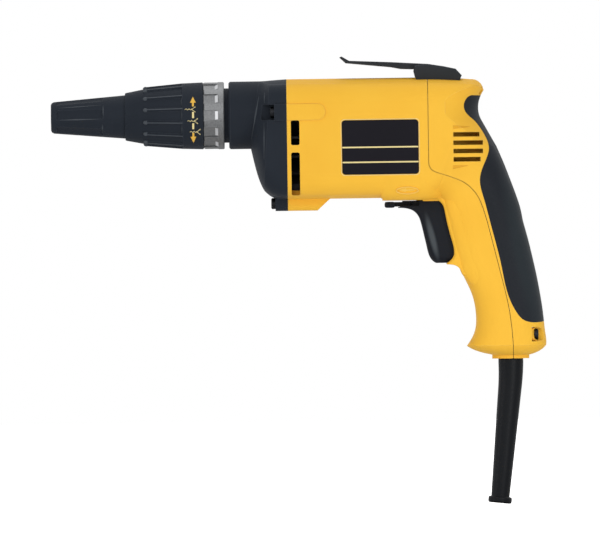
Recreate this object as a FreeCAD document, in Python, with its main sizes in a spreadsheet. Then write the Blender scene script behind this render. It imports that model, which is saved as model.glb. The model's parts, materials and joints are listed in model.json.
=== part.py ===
import FreeCAD, Part
import math
import os
import Sketcher
from FreeCAD import Placement, Rotation, Vector

# A corded drywall screwdriver, one solid or set of solids per sub-part.
# X runs back along the spindle from the mouth of the nose, Y runs across, Z is up.
# Every length is in millimetres and is set once, in the table below.

SIZES = {
    # Nose: cone, collar and ring
    "cone_length": 45.0,
    "cone_tip_radius": 9.7,
    "cone_rear_radius": 13.2,
    "cone_edge_round": 1.8,
    "cone_tail_radius": 12.6,
    "cone_tail_end": 72.0,
    "cone_shoulder": 2.0,
    "mouth_radius": 6.0,
    "mouth_length": 5.0,
    "mouth_flare": 2.0,
    "cone_inner_radius": 7.4,
    "cone_sleeve_start": 41.5,
    "flute_front": 3.4,
    "flute_length": 28.4,
    "flute_depth": 1.1,
    "flute_cutter_radius": 9.0,
    "collar_length": 48.0,
    "collar_front_radius": 14.2,
    "collar_edge": 0.7,
    "collar_rib_start": 12.6,
    "collar_step": 34.4,
    "collar_rib_base_radius": 16.9,
    "collar_step_radius": 18.9,
    "collar_band_radius": 20.0,
    "collar_rear_radius": 20.4,
    "collar_rib_radius": 1.05,
    "collar_mouth_bore": 13.5,
    "collar_mouth_depth": 13.0,
    "collar_thread_bore": 12.9,
    "ring_length": 12.4,
    "ring_radius": 20.5,
    "ring_edge": 0.5,
    "ring_pocket_length": 8.9,
    "ring_pocket_width": 6.6,
    "ring_pocket_depth": 0.9,
    "ring_bore_depth": 10.4,
    "hub_length": 11.2,
    "hub_radius": 16.0,
    "hub_bore": 11.5,
    "hub_wall": 3.0,
    "sleeve_length": 30.0,
    "sleeve_radius": 9.5,
    "sleeve_bore": 7.6,
    "snap_ring_width": 1.2,
    "snap_ring_depth": 1.0,
    "snap_ring_setback": 7.6,
    "detent_radius": 1.25,
    "detent_setback": 4.4,
    "detent_hole_depth": 4.2,
    # Gear case
    "spigot_radius": 16.6,
    "spigot_edge": 0.5,
    "o_ring_thickness": 1.25,
    "o_ring_setback": 9.4,
    "neck_gap": 2.8,
    "snout_length": 13.2,
    "snout_radius": 20.6,
    "snout_edge": 0.9,
    "snout_run": 9.0,
    "bell_length": 22.1,
    "wall": 3.2,
    "clutch_bore": 15.0,
    "gear_bore_radius": 18.4,
    "front_bush_length": 11.0,
    "front_bush_radius": 9.0,
    "seal_length": 3.0,
    "seal_lip_radius": 7.4,
    "plate_thickness": 7.0,
    # Barrel, handle and grip
    "barrel_length": 85.8,
    "barrel_top": 21.6,
    "barrel_bottom": 51.6,
    "barrel_half_width": 33.0,
    "handle_half_width": 19.5,
    "crook_drop": 57.0,
    "rear_reach": 70.8,
    "handle_drop": 85.5,
    "base_drop": 5.8,
    "saddle_high_radius": 18.3,
    "saddle_low_radius": 15.0,
    "saddle_run": 26.0,
    "saddle_sweep": 36.0,
    "saddle_setback": 31.0,
    "saddle_height": 2.5,
    "saddle_start": 10.6,
    "grip_thickness": 2.0,
    "seam_gap": 0.3,
    "skin_gap": 0.05,
    "belly_pad_start": 57.7,
    "belly_pad_end": 92.0,
    "belly_pad_half_width": 13.0,
    "belly_pad_drop": 1.6,
    "guard_reach": 26.0,
    "guard_top": 53.1,
    "guard_height": 46.0,
    "guard_half_width": 15.0,
    "guard_round": 2.4,
    "cord_collar_radius": 11.3,
    "cord_collar_length": 2.2,
    "cord_exit": 48.8,
    # Openings in the shell
    "vent_start": 2.4,
    "vent_width": 5.2,
    "vent_round": 1.1,
    "vent_one_top": 3.9,
    "vent_one_height": 15.0,
    "vent_two_top": 23.4,
    "vent_two_height": 26.0,
    "vent_web_drop": 43.0,
    "vent_web_half_width": 17.0,
    "louvre_start": 15.3,
    "louvre_length": 17.0,
    "louvre_top": 12.4,
    "louvre_height": 2.7,
    "louvre_pitch": 5.05,
    "web_start": 12.5,
    "web_length": 24.0,
    "web_drop": 42.0,
    "web_half": 1.0,
    "label_start": 33.4,
    "label_length": 46.5,
    "label_top": 4.3,
    "label_height": 33.0,
    "label_round": 2.0,
    "label_thickness": 0.6,
    "label_gap": 0.12,
    "window_start": 61.6,
    "window_length": 8.5,
    "window_top": 131.6,
    "window_height": 8.6,
    "window_depth": 9.0,
    # Screws and their bosses
    "screw_radius": 2.0,
    "screw_head_radius": 3.4,
    "screw_head_height": 2.6,
    "screw_hole_gap": 0.15,
    "plate_gap": 0.9,
    "case_screw_length": 17.0,
    "case_screw_spread": 29.4,
    "case_screw_height": 1.2,
    "case_screw_seat": 7.6,
    "belly_screw_drop": 54.1,
    "belly_boss_radius": 4.6,
    "belly_boss_length": 18.0,
    "belly_boss_slope": 9.5,
    "side_boss_radius": 4.4,
    "side_boss_length": 10.8,
    "recess_length": 7.8,
    "recess_height": 9.4,
    "recess_depth": 4.0,
    "recess_floor": 1.8,
    "pad_length": 23.5,
    "pad_radius": 4.95,
    "pad_proud": 0.9,
    "top_screw_spread": 9.0,
    "top_screw_height": 13.2,
    "top_web_half": 1.5,
    "top_head_radius": 2.5,
    "top_head_height": 2.2,
    "top_boss_radius": 4.3,
    "top_boss_front": 16.0,
    "top_boss_rear": 26.0,
    "top_screw_length": 38.0,
    "base_screw_spread": 12.5,
    "base_screw_drop": 136.0,
    "base_boss_radius": 4.2,
    "base_boss_front": 20.0,
    "base_boss_rear": 17.0,
    "base_screw_seat": 13.0,
    "base_screw_length": 29.2,
    # Clip
    "clip_half_width": 10.0,
    "clip_base_half_width": 15.0,
    "clip_reach": 53.2,
    "clip_rise": 12.8,
    "clip_base_front": 8.2,
    "clip_base_length": 29.4,
    "clip_base_sink": 3.0,
    "clip_edge_round": 0.8,
    "clip_screw_place": 10.0,
    "clip_boss_length": 9.0,
    # Boot
    "boot_radius": 7.6,
    "boot_end_radius": 5.5,
    "boot_bore": 4.2,
    "boot_flange_radius": 10.4,
    "boot_flange_thick": 3.0,
    "boot_end_flange_radius": 7.2,
    "boot_end_flange_length": 4.0,
    "boot_straight": 2.5,
    "boot_bend_radius": 150.0,
    "boot_tail_length": 70.8,
    "boot_gap": 0.3,
    # Switch, trigger and lever
    "trigger_half_width": 9.6,
    "trigger_gap": 0.5,
    "trigger_back": 17.8,
    "trigger_top": 57.3,
    "trigger_reach": 18.6,
    "trigger_height": 34.4,
    "trigger_tip_round": 0.4,
    "trigger_foot_round": 5.0,
    "trigger_stem_radius": 2.6,
    "trigger_stem_length": 10.0,
    "trigger_slot_front": 4.0,
    "trigger_slot_depth": 21.0,
    "trigger_spring_radius": 4.0,
    "switch_front": 25.4,
    "switch_length": 16.0,
    "switch_half_width": 15.5,
    "switch_top": 60.5,
    "switch_height": 24.0,
    "stem_drop": 70.0,
    "running_gap": 0.3,
    "lever_pivot": 5.6,
    "lever_reach": 21.0,
    "lever_thick": 3.5,
    "lever_step": 0.7,
    "lever_knob_thick": 3.9,
    "lever_neck": 10.5,
    "lever_half_width": 3.0,
    "lever_disc_radius": 6.5,
    "lever_knob_length": 5.6,
    "lever_knob_half_width": 4.6,
    "lever_pin_radius": 2.0,
    "lever_pin_length": 4.2,
    "lever_rib": 0.7,
    "lever_rib_width": 0.8,
    "lever_rib_pitch": 1.6,
    # Motor
    "motor_drop": 20.0,
    "stator_start": 18.8,
    "stator_length": 40.0,
    "stator_half_width": 29.2,
    "stator_half_height": 26.6,
    "stator_round": 13.0,
    "stator_bore": 17.4,
    "coil_inner": 18.2,
    "coil_outer": 24.6,
    "coil_end": 5.6,
    "coil_gap": 0.4,
    "core_start": 20.8,
    "core_length": 36.0,
    "core_radius": 16.5,
    "core_slot_width": 2.4,
    "core_slot_depth": 6.0,
    "winding_end": 5.5,
    "winding_radius": 13.6,
    "commutator_start": 64.4,
    "commutator_length": 13.0,
    "commutator_radius": 11.0,
    "commutator_slot": 0.5,
    "shaft_radius": 4.0,
    "shaft_rear_radius": 3.5,
    "shaft_end": 86.2,
    "fan_start": 2.4,
    "fan_length": 8.0,
    "fan_radius": 26.0,
    "fan_hub_radius": 8.0,
    "fan_disc": 1.6,
    "fan_blade": 1.4,
    "fan_blade_inner": 12.0,
    "baffle_thick": 1.8,
    "baffle_bore": 23.0,
    "bearing_radius": 11.0,
    "race_thick": 1.9,
    "rear_bearing_width": 5.2,
    "rear_bearing_radius": 9.5,
    "rear_race_thick": 1.7,
    "bracket_start": 80.2,
    "bracket_thick": 5.2,
    "bracket_opening_radius": 5.5,
    "bracket_opening_spread": 17.0,
    "bracket_arm_half_width": 5.0,
    "bracket_arm_half_height": 4.0,
    "brush_length": 12.0,
    "brush_width": 6.0,
    "brush_height": 8.0,
    "brush_gap": 0.25,
    "holder_wall": 1.2,
    "holder_length": 16.5,
    "brush_spring_radius": 2.2,
    "spring_wire": 0.35,
    # Gears, clutch, spindle and bit
    "gear_module": 0.8,
    "gear_length": 8.5,
    "gear_start": 4.5,
    "gear_hub_radius": 12.5,
    "gear_hub_length": 2.0,
    "pinion_length": 11.0,
    "dog_length": 2.4,
    "dog_inner": 8.4,
    "dog_outer": 12.0,
    "jaw_thick": 4.5,
    "spindle_radius": 6.0,
    "spindle_front": 84.0,
    "spindle_rear_setback": 2.6,
    "fit_gap": 0.05,
    "rear_bush_radius": 8.0,
    "clutch_spring_radius": 7.2,
    "clutch_wire": 0.5,
    "thrust_radius": 9.0,
    "thrust_thick": 1.6,
    "socket_depth": 20.0,
    "hex_flats": 6.35,
    "hex_gap": 0.08,
    "holder_front": 20.0,
    "holder_radius": 5.3,
    "holder_rear": 70.0,
    "holder_shank_length": 32.0,
    "magnet_radius": 2.6,
    "magnet_length": 5.0,
    "bit_tip": 6.6,
    "bit_length": 26.0,
    "bit_waist": 7.0,
    "bit_waist_radius": 2.6,
    "bit_point": 4.0,
    "bit_point_radius": 0.8,
    # Cord clamp
    "clamp_drop": 120.0,
    "clamp_height": 7.0,
    "clamp_half_width": 13.0,
    "clamp_thick": 3.0,
    "clamp_start": 51.6,
    "clamp_screw_spread": 9.5,
    "clamp_screw_radius": 1.5,
    "clamp_head_radius": 2.7,
    "clamp_head_height": 2.0,
    "clamp_screw_length": 14.0,
    "clamp_rib_end": 44.0,
}

COUNTS = {
    "flute_count": 6,
    "collar_rib_count": 14,
    "ring_pocket_count": 12,
    "fan_blade_count": 14,
    "core_slot_count": 12,
    "commutator_bar_count": 24,
    "ball_count": 7,
    "lever_rib_count": 3,
    "pinion_teeth": 7,
    "gear_teeth": 43,
    "dog_count": 3,
}

doc = FreeCAD.newDocument("drywall_screwdriver")
sheet = doc.addObject("Spreadsheet::Sheet", "sizes")


class Size:
    """A number that keeps its sheet expression next to its present value."""

    def __init__(self, text, value):
        self.text = text
        self.value = float(value)

    def __float__(self):
        return self.value

    def __add__(self, other):
        other = sized(other)
        return Size(f"({self.text} + {other.text})", self.value + other.value)

    def __sub__(self, other):
        other = sized(other)
        return Size(f"({self.text} - {other.text})", self.value - other.value)

    def __mul__(self, other):
        other = sized(other)
        return Size(f"({self.text} * {other.text})", self.value * other.value)

    def __truediv__(self, other):
        other = sized(other)
        return Size(f"({self.text} / {other.text})", self.value / other.value)

    def __neg__(self):
        return Size(f"(-1 * {self.text})", -self.value)

    def __radd__(self, other):
        return sized(other) + self

    def __rsub__(self, other):
        return sized(other) - self

    def __rmul__(self, other):
        return sized(other) * self


def sized(number):
    return number if isinstance(number, Size) else Size(repr(float(number)), number)


class Named:
    """The sizes by name."""


s = Named()
for row, (alias, number) in enumerate({**SIZES, **COUNTS}.items(), start=1):
    sheet.set(f"A{row}", alias)
    sheet.set(f"B{row}", str(number))
    sheet.setAlias(f"B{row}", alias)
    setattr(s, alias, Size(f"sizes.{alias}", number))
doc.recompute()

PIECES = []


def piece(thing, label):
    """Names a finished sub-part and puts it on the list to export."""
    thing.Label = label
    PIECES.append(thing)
    return thing


def bind(thing, **values):
    """Ties properties of an object to the sheet."""
    for name, value in values.items():
        thing.setExpression(name, sized(value).text)


def put(thing, at, turn=None):
    """Places an object at a point written in sizes, turned if asked."""
    if turn is not None:
        thing.Placement = Placement(Vector(*at), turn)
    for axis, value in zip("xyz", at):
        thing.setExpression(f"Placement.Base.{axis}", sized(value).text)
    return thing


def along(direction):
    """The turn that carries Z onto a direction."""
    return Rotation(Vector(0, 0, 1), Vector(*direction))


BACK = (1, 0, 0)
AHEAD = (-1, 0, 0)
UP = (0, 0, 1)
DOWN = (0, 0, -1)
ACROSS = (0, 1, 0)
NEARLY_ZERO_SHARE = 1e-6


def box(name, size, at):
    thing = doc.addObject("Part::Box", name)
    bind(thing, Length=size[0], Width=size[1], Height=size[2])
    return put(thing, at)


def slab(name, x, z, half_width):
    """A box between two places along X and two along Z, the same to each side."""
    return box(name, (x[1] - x[0], half_width * 2, z[1] - z[0]), (x[0], -half_width, z[0]))


def cylinder(name, radius, length, at, direction=BACK):
    thing = doc.addObject("Part::Cylinder", name)
    bind(thing, Radius=radius, Height=length)
    return put(thing, at, along(direction))


def solid(name, shape):
    thing = doc.addObject("Part::Feature", name)
    thing.Shape = shape
    return thing


def fuse(name, things):
    thing = doc.addObject("Part::MultiFuse", name)
    thing.Shapes = things
    thing.Refine = True
    return thing


def cut(name, base, things):
    tool = things[0] if len(things) == 1 else fuse(name + "_tools", things)
    thing = doc.addObject("Part::Cut", name)
    thing.Base = base
    thing.Tool = tool
    thing.Refine = True
    return thing


def common(name, base, tool):
    thing = doc.addObject("Part::Common", name)
    thing.Base = base
    thing.Tool = tool
    return thing


def group(name, things):
    thing = doc.addObject("Part::Compound", name)
    thing.Links = things
    return thing


def origin_plane(body, role):
    return next(f for f in body.Origin.OriginFeatures if f.Role == role)


def sketch_on(body, role, name, points):
    """A closed outline of straight lines whose corners are tied to the sheet."""
    sketch = body.newObject("Sketcher::SketchObject", name)
    sketch.AttachmentSupport = (origin_plane(body, role), [""])
    sketch.MapMode = "FlatFace"
    corners = [Vector(float(p), float(q), 0) for p, q in points]
    count = len(corners)
    for i in range(count):
        sketch.addGeometry(Part.LineSegment(corners[i], corners[(i + 1) % count]), False)
    for i in range(count):
        sketch.addConstraint(Sketcher.Constraint("Coincident", i, 2, (i + 1) % count, 1))
    for i, corner in enumerate(points):
        for kind, axis, value in zip(("DistanceX", "DistanceY"), (-2, -1), corner):
            if isinstance(value, Size):
                index = sketch.addConstraint(Sketcher.Constraint(kind, i, 1, value.value))
                sketch.setExpression(f"Constraints[{index}]", value.text)
            else:
                sketch.addConstraint(Sketcher.Constraint("PointOnObject", i, 1, axis))
    return sketch


def turned(name, points, at=(0, 0, 0)):
    """A body turned about its X axis from corners given as place along X and radius."""
    body = doc.addObject("PartDesign::Body", name)
    sketch = sketch_on(body, "XY_Plane", name + "_half", points)
    turn = body.newObject("PartDesign::Revolution", name + "_turn")
    turn.Profile = sketch
    turn.ReferenceAxis = (sketch, ["H_Axis"])
    turn.Angle = 360
    body.Tip = turn
    return put(body, at)


def ring(name, x, inner, outer, at=(0, 0, 0)):
    """A plain turned ring between two places along X."""
    return turned(name, [(x[0], inner), (x[1], inner), (x[1], outer), (x[0], outer)], at)


def padded(name, role, points, thickness, at=(0, 0, 0)):
    """A body padded the same way to both sides of a drawn outline."""
    body = doc.addObject("PartDesign::Body", name)
    sketch = sketch_on(body, role, name + "_outline", points)
    pad = body.newObject("PartDesign::Pad", name + "_pad")
    pad.Profile = sketch
    pad.SideType = "Symmetric"
    bind(pad, Length=thickness)
    body.Tip = pad
    return put(body, at)


def rounded(body, radius, wanted):
    """Rounds the edges of a body that a test picks out."""
    doc.recompute()
    base = body.Tip
    names = [f"Edge{i}" for i, edge in enumerate(base.Shape.Edges, start=1) if wanted(edge)]
    fillet = body.newObject("PartDesign::Fillet", body.Name + f"_round_{len(body.Group)}")
    fillet.Base = (base, names)
    bind(fillet, Radius=radius)
    body.Tip = fillet
    return body


def runs_along(edge, axis):
    """True for a straight edge that runs along one axis."""
    box_ = edge.BoundBox
    spans = (box_.XLength, box_.YLength, box_.ZLength)
    return spans[axis] > 0 and sum(spans) - spans[axis] < spans[axis] * NEARLY_ZERO_SHARE


def lies_flat(edge):
    """True for an edge in a plane across Y."""
    return edge.BoundBox.YLength < edge.BoundBox.DiagonalLength * NEARLY_ZERO_SHARE


def around(shape_for, count, phase=0.0):
    """Copies of a shape set evenly about the X axis."""
    shapes = []
    for i in range(int(float(count))):
        turn = Rotation(Vector(1, 0, 0), phase + 360.0 * i / float(count))
        copy = shape_for.copy()
        copy.Placement = Placement(Vector(0, 0, 0), turn).multiply(copy.Placement)
        shapes.append(copy)
    return shapes


def sector(x, radii, angles):
    """A solid between two radii and two angles about the X axis, from one place along X to another."""
    inner, outer = (float(r) for r in radii)
    start, end = (math.radians(a) for a in angles)
    middle = (start + end) / 2

    def spot(radius, angle):
        return Vector(float(x[0]), radius * math.cos(angle), radius * math.sin(angle))

    edges = [
        Part.Arc(spot(outer, start), spot(outer, middle), spot(outer, end)).toShape(),
        Part.LineSegment(spot(outer, end), spot(inner, end)).toShape(),
        Part.Arc(spot(inner, end), spot(inner, middle), spot(inner, start)).toShape(),
        Part.LineSegment(spot(inner, start), spot(outer, start)).toShape(),
    ]
    return Part.Face(Part.Wire(edges)).extrude(Vector(float(x[1]) - float(x[0]), 0, 0))


def closed(faces):
    """The solid that a set of faces encloses."""
    shell = Part.Compound(faces)
    shell.sewShape()
    whole = Part.Solid(shell.Shells[0])
    return whole if whole.Volume > 0 else whole.reversed()


def tangent_arc(start, corner, end):
    """The arc from start to end whose end tangents meet at the corner."""
    chord = end - start
    lean = (corner - start).dot(chord) / ((corner - start).Length * chord.Length)
    middle = ((start + end) * 0.5 + corner * lean) * (1 / (1 + lean))
    return Part.Arc(start, middle, end).toShape()


def coil(radius, wire, length, turns):
    """A spring along Z from the origin, two arcs to each quarter turn, its wire inside the stated length."""
    radius, wire = float(radius), float(wire)
    reach = float(length) - 2 * wire
    quarters = 4 * turns
    rise = reach / quarters / (math.pi / 2)
    spots, ways = [], []
    for i in range(quarters + 1):
        turn = math.pi / 2 * i
        spots.append(Vector(radius * math.cos(turn), radius * math.sin(turn), wire + rise * turn))
        ways.append(Vector(-radius * math.sin(turn), radius * math.cos(turn), rise).normalize())
    edges = []
    for i in range(quarters):
        gap, both_ways = spots[i + 1] - spots[i], ways[i] + ways[i + 1]
        fall = 2 * (1 - ways[i].dot(ways[i + 1]))
        along_gap = gap.dot(both_ways)
        arm = (math.sqrt(along_gap**2 + fall * gap.dot(gap)) - along_gap) / fall
        first, second = spots[i] + ways[i] * arm, spots[i + 1] - ways[i + 1] * arm
        join = (first + second) * 0.5
        edges += [tangent_arc(spots[i], first, join), tangent_arc(join, second, spots[i + 1])]
    loop = Part.Circle(spots[0], ways[0], wire).toShape()
    faces = [Part.Face(Part.Wire(loop))]
    for edge in edges:
        centre, axis = edge.Curve.Center, edge.Curve.Axis
        sweep = math.degrees(edge.LastParameter - edge.FirstParameter)
        faces.append(loop.revolve(centre, axis, sweep))
        loop = loop.copy()
        loop.rotate(centre, axis, sweep)
    faces.append(Part.Face(Part.Wire(loop)))
    return closed(faces)


def set_at(shape, at, direction):
    shape.Placement = Placement(Vector(*at), along(direction)).multiply(shape.Placement)
    return shape


# Places along X that several sub-parts share
collar_front = s.cone_length + s.running_gap
ring_front = collar_front + s.collar_length
ring_rear = ring_front + s.ring_length
snout_front = ring_rear + s.neck_gap
bell_front = snout_front + s.snout_length
joint = bell_front + s.bell_length
seam = joint + s.barrel_length
motor_axis = -s.motor_drop
crook = -s.crook_drop
base = crook - s.handle_drop
base_bottom = base - s.base_drop


# The outer skin
# Each row of a table is one cross-section, a rounded box with slightly bulged ends.
# Widths are shares of the way from the handle's half width to the barrel's.
# Rounds are shares of the section's own half width.
# Bulges are shares of the straight stretch between two rounds.
FAN_SHARES = (
    # turn, share of the rise, share of the reach, width, low round, high round, low bulge, high bulge
    (0, 1.0, 0.0, 1.0, 0.40, 0.36, 0.08, 0.14),
    (9.5, 1.008, 0.0, 1.0, 0.42, 0.36, 0.08, 0.14),
    (19, 1.038, 0.0, 0.96, 0.46, 0.39, 0.08, 0.14),
    (21.4, 1.046, 0.0, 0.935, 0.48, 0.42, 0.08, 0.14),
    (23.6, 1.036, 0.0, 0.91, 0.49, 0.44, 0.08, 0.14),
    (25.6, 1.006, 0.0, 0.88, 0.50, 0.46, 0.08, 0.14),
    (30, 0.855, 0.049, 0.82, 0.53, 0.51, 0.08, 0.14),
    (35, 0.720, 0.110, 0.74, 0.56, 0.56, 0.08, 0.14),
    (40, 0.604, 0.177, 0.65, 0.60, 0.62, 0.08, 0.14),
    (46, 0.491, 0.2525, 0.54, 0.63, 0.67, 0.08, 0.14),
    (53, 0.3855, 0.338, 0.42, 0.66, 0.72, 0.08, 0.14),
    (61, 0.280, 0.436, 0.31, 0.69, 0.76, 0.08, 0.14),
    (70, 0.1756, 0.544, 0.21, 0.71, 0.79, 0.08, 0.14),
    (80, 0.079, 0.663, 0.13, 0.73, 0.81, 0.08, 0.14),
)
LIP_ROWS = (2, 5)
SADDLE_LEAN_DEGREES = 29.0
HANDLE_SHARES = (
    # share of the drop, front edge, rear edge (shares of the reach), width, rounds, bulges
    (0.0, 0.109, 0.7825, 0.08, 0.74, 0.82, 0.08, 0.14),
    (0.105, 0.144, 0.809, 0.045, 0.75, 0.84, 0.08, 0.14),
    (0.210, 0.170, 0.842, 0.015, 0.75, 0.84, 0.08, 0.14),
    (0.316, 0.203, 0.873, 0.0, 0.75, 0.84, 0.08, 0.14),
    (0.421, 0.249, 0.901, 0.0, 0.75, 0.84, 0.08, 0.14),
    (0.526, 0.306, 0.927, 0.0, 0.75, 0.84, 0.08, 0.14),
    (0.632, 0.362, 0.949, 0.01, 0.75, 0.84, 0.08, 0.14),
    (0.737, 0.390, 0.968, 0.03, 0.75, 0.84, 0.08, 0.14),
    (0.825, 0.395, 0.979, 0.07, 0.74, 0.83, 0.08, 0.14),
    (0.912, 0.375, 0.990, 0.14, 0.73, 0.82, 0.08, 0.14),
    (1.0, 0.313, 0.996, 0.26, 0.72, 0.81, 0.08, 0.14),
)
CAP_SHARES = (
    # share of the base drop, then as above
    (0.448, 0.377, 0.959, 0.074, 0.72, 0.80, 0.08, 0.14),
    (0.776, 0.458, 0.910, -0.185, 0.68, 0.74, 0.08, 0.14),
    (1.0, 0.545, 0.853, -0.48, 0.60, 0.64, 0.08, 0.14),
)
BELL_SHARES = (
    # lean, share of the length at the low edge, depth, width, low round, high round, low bulge, high bulge
    (7.4, 0.0, 0.0, 0.0, 0.95, 0.95, 0.10, 0.10),
    (7.0, 0.072, 0.23, 0.24, 0.86, 0.84, 0.09, 0.12),
    (6.0, 0.16, 0.48, 0.52, 0.70, 0.68, 0.08, 0.14),
    (4.6, 0.26, 0.69, 0.78, 0.56, 0.52, 0.08, 0.14),
    (3.4, 0.355, 0.825, 0.95, 0.46, 0.42, 0.08, 0.14),
    (2.0, 0.53, 0.935, 0.97, 0.43, 0.39, 0.08, 0.14),
    (0.0, 1.0, 1.0, 1.0, 0.40, 0.36, 0.08, 0.14),
)
BELL_CREASE_ROW = 4


def section(centre, out, low, high, half, rounds, bulges, inset):
    """A closed outline in the plane of `out` and Y: bulged low and high ends, flat sides, round corners."""
    low, high, half, inset = float(low), float(high), float(half), float(inset)
    low_round, high_round = (share * half - inset for share in rounds)
    low_bulge, high_bulge = (bulge * half * (1 - share) for bulge, share in zip(bulges, rounds))
    low, high, half = low + inset, high - inset, half - inset
    diagonal = math.sqrt(0.5)

    def spot(u, y):
        return centre + out * u + Vector(0, y, 0)

    def corner(u, y, radius, u_way, y_way):
        """Three points of a corner arc about (u, y)."""
        ends = [spot(u + u_way * radius, y), spot(u, y + y_way * radius)]
        middle = spot(u + u_way * radius * diagonal, y + y_way * radius * diagonal)
        return ends[0], middle, ends[1]

    low_u, low_y = low + low_bulge + low_round, half - low_round
    high_u, high_y = high - high_bulge - high_round, half - high_round
    a, a_mid, b = corner(low_u, low_y, low_round, -1, 1)
    d, c_mid, c = corner(high_u, high_y, high_round, 1, 1)
    e, e_mid, f = corner(high_u, -high_y, high_round, 1, -1)
    h, g_mid, g = corner(low_u, -low_y, low_round, -1, -1)
    return Part.Wire(
        [
            Part.Arc(h, spot(low, 0), a).toShape(),
            Part.Arc(a, a_mid, b).toShape(),
            Part.LineSegment(b, c).toShape(),
            Part.Arc(c, c_mid, d).toShape(),
            Part.Arc(d, spot(high, 0), e).toShape(),
            Part.Arc(e, e_mid, f).toShape(),
            Part.LineSegment(f, g).toShape(),
            Part.Arc(g, g_mid, h).toShape(),
        ]
    )


def half_for(share):
    return s.handle_half_width + (s.barrel_half_width - s.handle_half_width) * share


def barrel_section(x, inset):
    rounds, bulges = FAN_SHARES[0][4:6], FAN_SHARES[0][6:8]
    low, high, half = -s.barrel_bottom, s.barrel_top, s.barrel_half_width
    return section(Vector(x, 0, 0), Vector(0, 0, 1), low, high, half, rounds, bulges, inset)


def level_section(z, row, inset):
    front, rear = s.rear_reach * row[1], s.rear_reach * row[2]
    return section(
        Vector(seam, 0, z), Vector(1, 0, 0), front, rear, half_for(row[3]), row[4:6], row[6:8], inset
    )


def fan_section(row, inset):
    """A section that stands on the crook of the handle and leans back by the row's turn."""
    turn, rise_share, reach_share, width = row[:4]
    way = turn / 90
    low = (s.crook_drop - s.barrel_bottom) * (1 - way) + s.rear_reach * HANDLE_SHARES[0][1] * way
    high = (s.barrel_top + s.crook_drop) * rise_share + s.rear_reach * reach_share
    out = Vector(math.sin(math.radians(turn)), 0, math.cos(math.radians(turn)))
    return section(Vector(seam, 0, crook), out, low, high, half_for(width), row[4:6], row[6:8], inset)


def sewn(runs):
    """A solid closed over runs of sections, each run starting where the last one ended."""
    faces = []
    for wires in runs:
        faces += Part.makeLoft(wires, False, False).Faces
    return closed(faces + [Part.Face(runs[0][0]), Part.Face(runs[-1][-1])])


def lines(points):
    return [Part.LineSegment(a, b).toShape() for a, b in zip(points, points[1:])]


def saddle_cutter(inset):
    """The hollow for the thumb web: an arc above, an arc and a straight run below, swept round."""
    waist = Vector(seam + s.saddle_setback - inset, 0, s.saddle_height)
    far = Vector(seam + s.rear_reach * 2, 0, s.saddle_height)
    high = float(s.saddle_high_radius) + float(inset)
    low = float(s.saddle_low_radius) + float(inset)
    high_middle = waist + Vector(high, 0, 0)
    low_middle = waist + Vector(low, 0, 0)

    def on_arc(middle, radius, degrees):
        turn = math.radians(degrees)
        return middle + Vector(-math.cos(turn), 0, math.sin(turn)) * radius

    peak = on_arc(high_middle, high, 90)
    foot = on_arc(low_middle, low, -SADDLE_LEAN_DEGREES)
    lean = math.radians(SADDLE_LEAN_DEGREES)
    run_end = foot + Vector(math.sin(lean), 0, -math.cos(lean)) * float(s.saddle_run)
    edges = [
        Part.Arc(peak, on_arc(high_middle, high, 45), waist).toShape(),
        Part.Arc(waist, on_arc(low_middle, low, -SADDLE_LEAN_DEGREES / 2), foot).toShape(),
    ]
    edges += lines([foot, run_end, Vector(far.x, 0, run_end.z), Vector(far.x, 0, peak.z), peak])
    axis = Vector(seam + s.saddle_setback - s.saddle_sweep, 0, 0)
    return Part.Face(Part.Wire(edges)).revolve(axis, Vector(0, 0, 1), 360)


def skin(inset):
    """The whole outer form of barrel and handle, drawn in by a wall where asked."""
    fans = [fan_section(row, inset) for row in FAN_SHARES]
    levels = [level_section(crook - s.handle_drop * row[0], row, inset) for row in HANDLE_SHARES]
    caps = [levels[-1]]
    for row in CAP_SHARES:
        wire = level_section(base - s.base_drop * row[0], row, inset)
        wire.translate(Vector(0, 0, inset * row[0]))
        caps.append(wire)
    start, end = LIP_ROWS
    barrel = [barrel_section(joint, inset), fans[0]]
    whole = sewn([barrel, fans[: start + 1], fans[start : end + 1], fans[end:] + levels, caps])
    saddle = saddle_cutter(inset)
    reach = float(s.rear_reach) * 2
    keep = Part.makeBox(reach, reach * 2, reach * 2, Vector(seam + s.saddle_start, -reach, -reach))
    return whole.cut(saddle.common(keep))


def gear_case_form(inset):
    """The bell that grows from the round snout to the barrel's own section."""
    wires = []
    for lean, length, depth, width, *shares in BELL_SHARES:
        turn = math.radians(lean)
        low = -s.snout_radius - (s.barrel_bottom - s.snout_radius) * depth
        high = s.snout_radius + (s.barrel_top - s.snout_radius) * length
        half = s.snout_radius + (s.barrel_half_width - s.snout_radius) * width
        place = Vector(bell_front + s.bell_length * length - low * math.tan(turn), 0, 0)
        out = Vector(math.tan(turn), 0, 1)
        wires.append(section(place, out, low, high, half, shares[0:2], shares[2:4], inset))
    return sewn([wires[: BELL_CREASE_ROW + 1], wires[BELL_CREASE_ROW:]])


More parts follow.
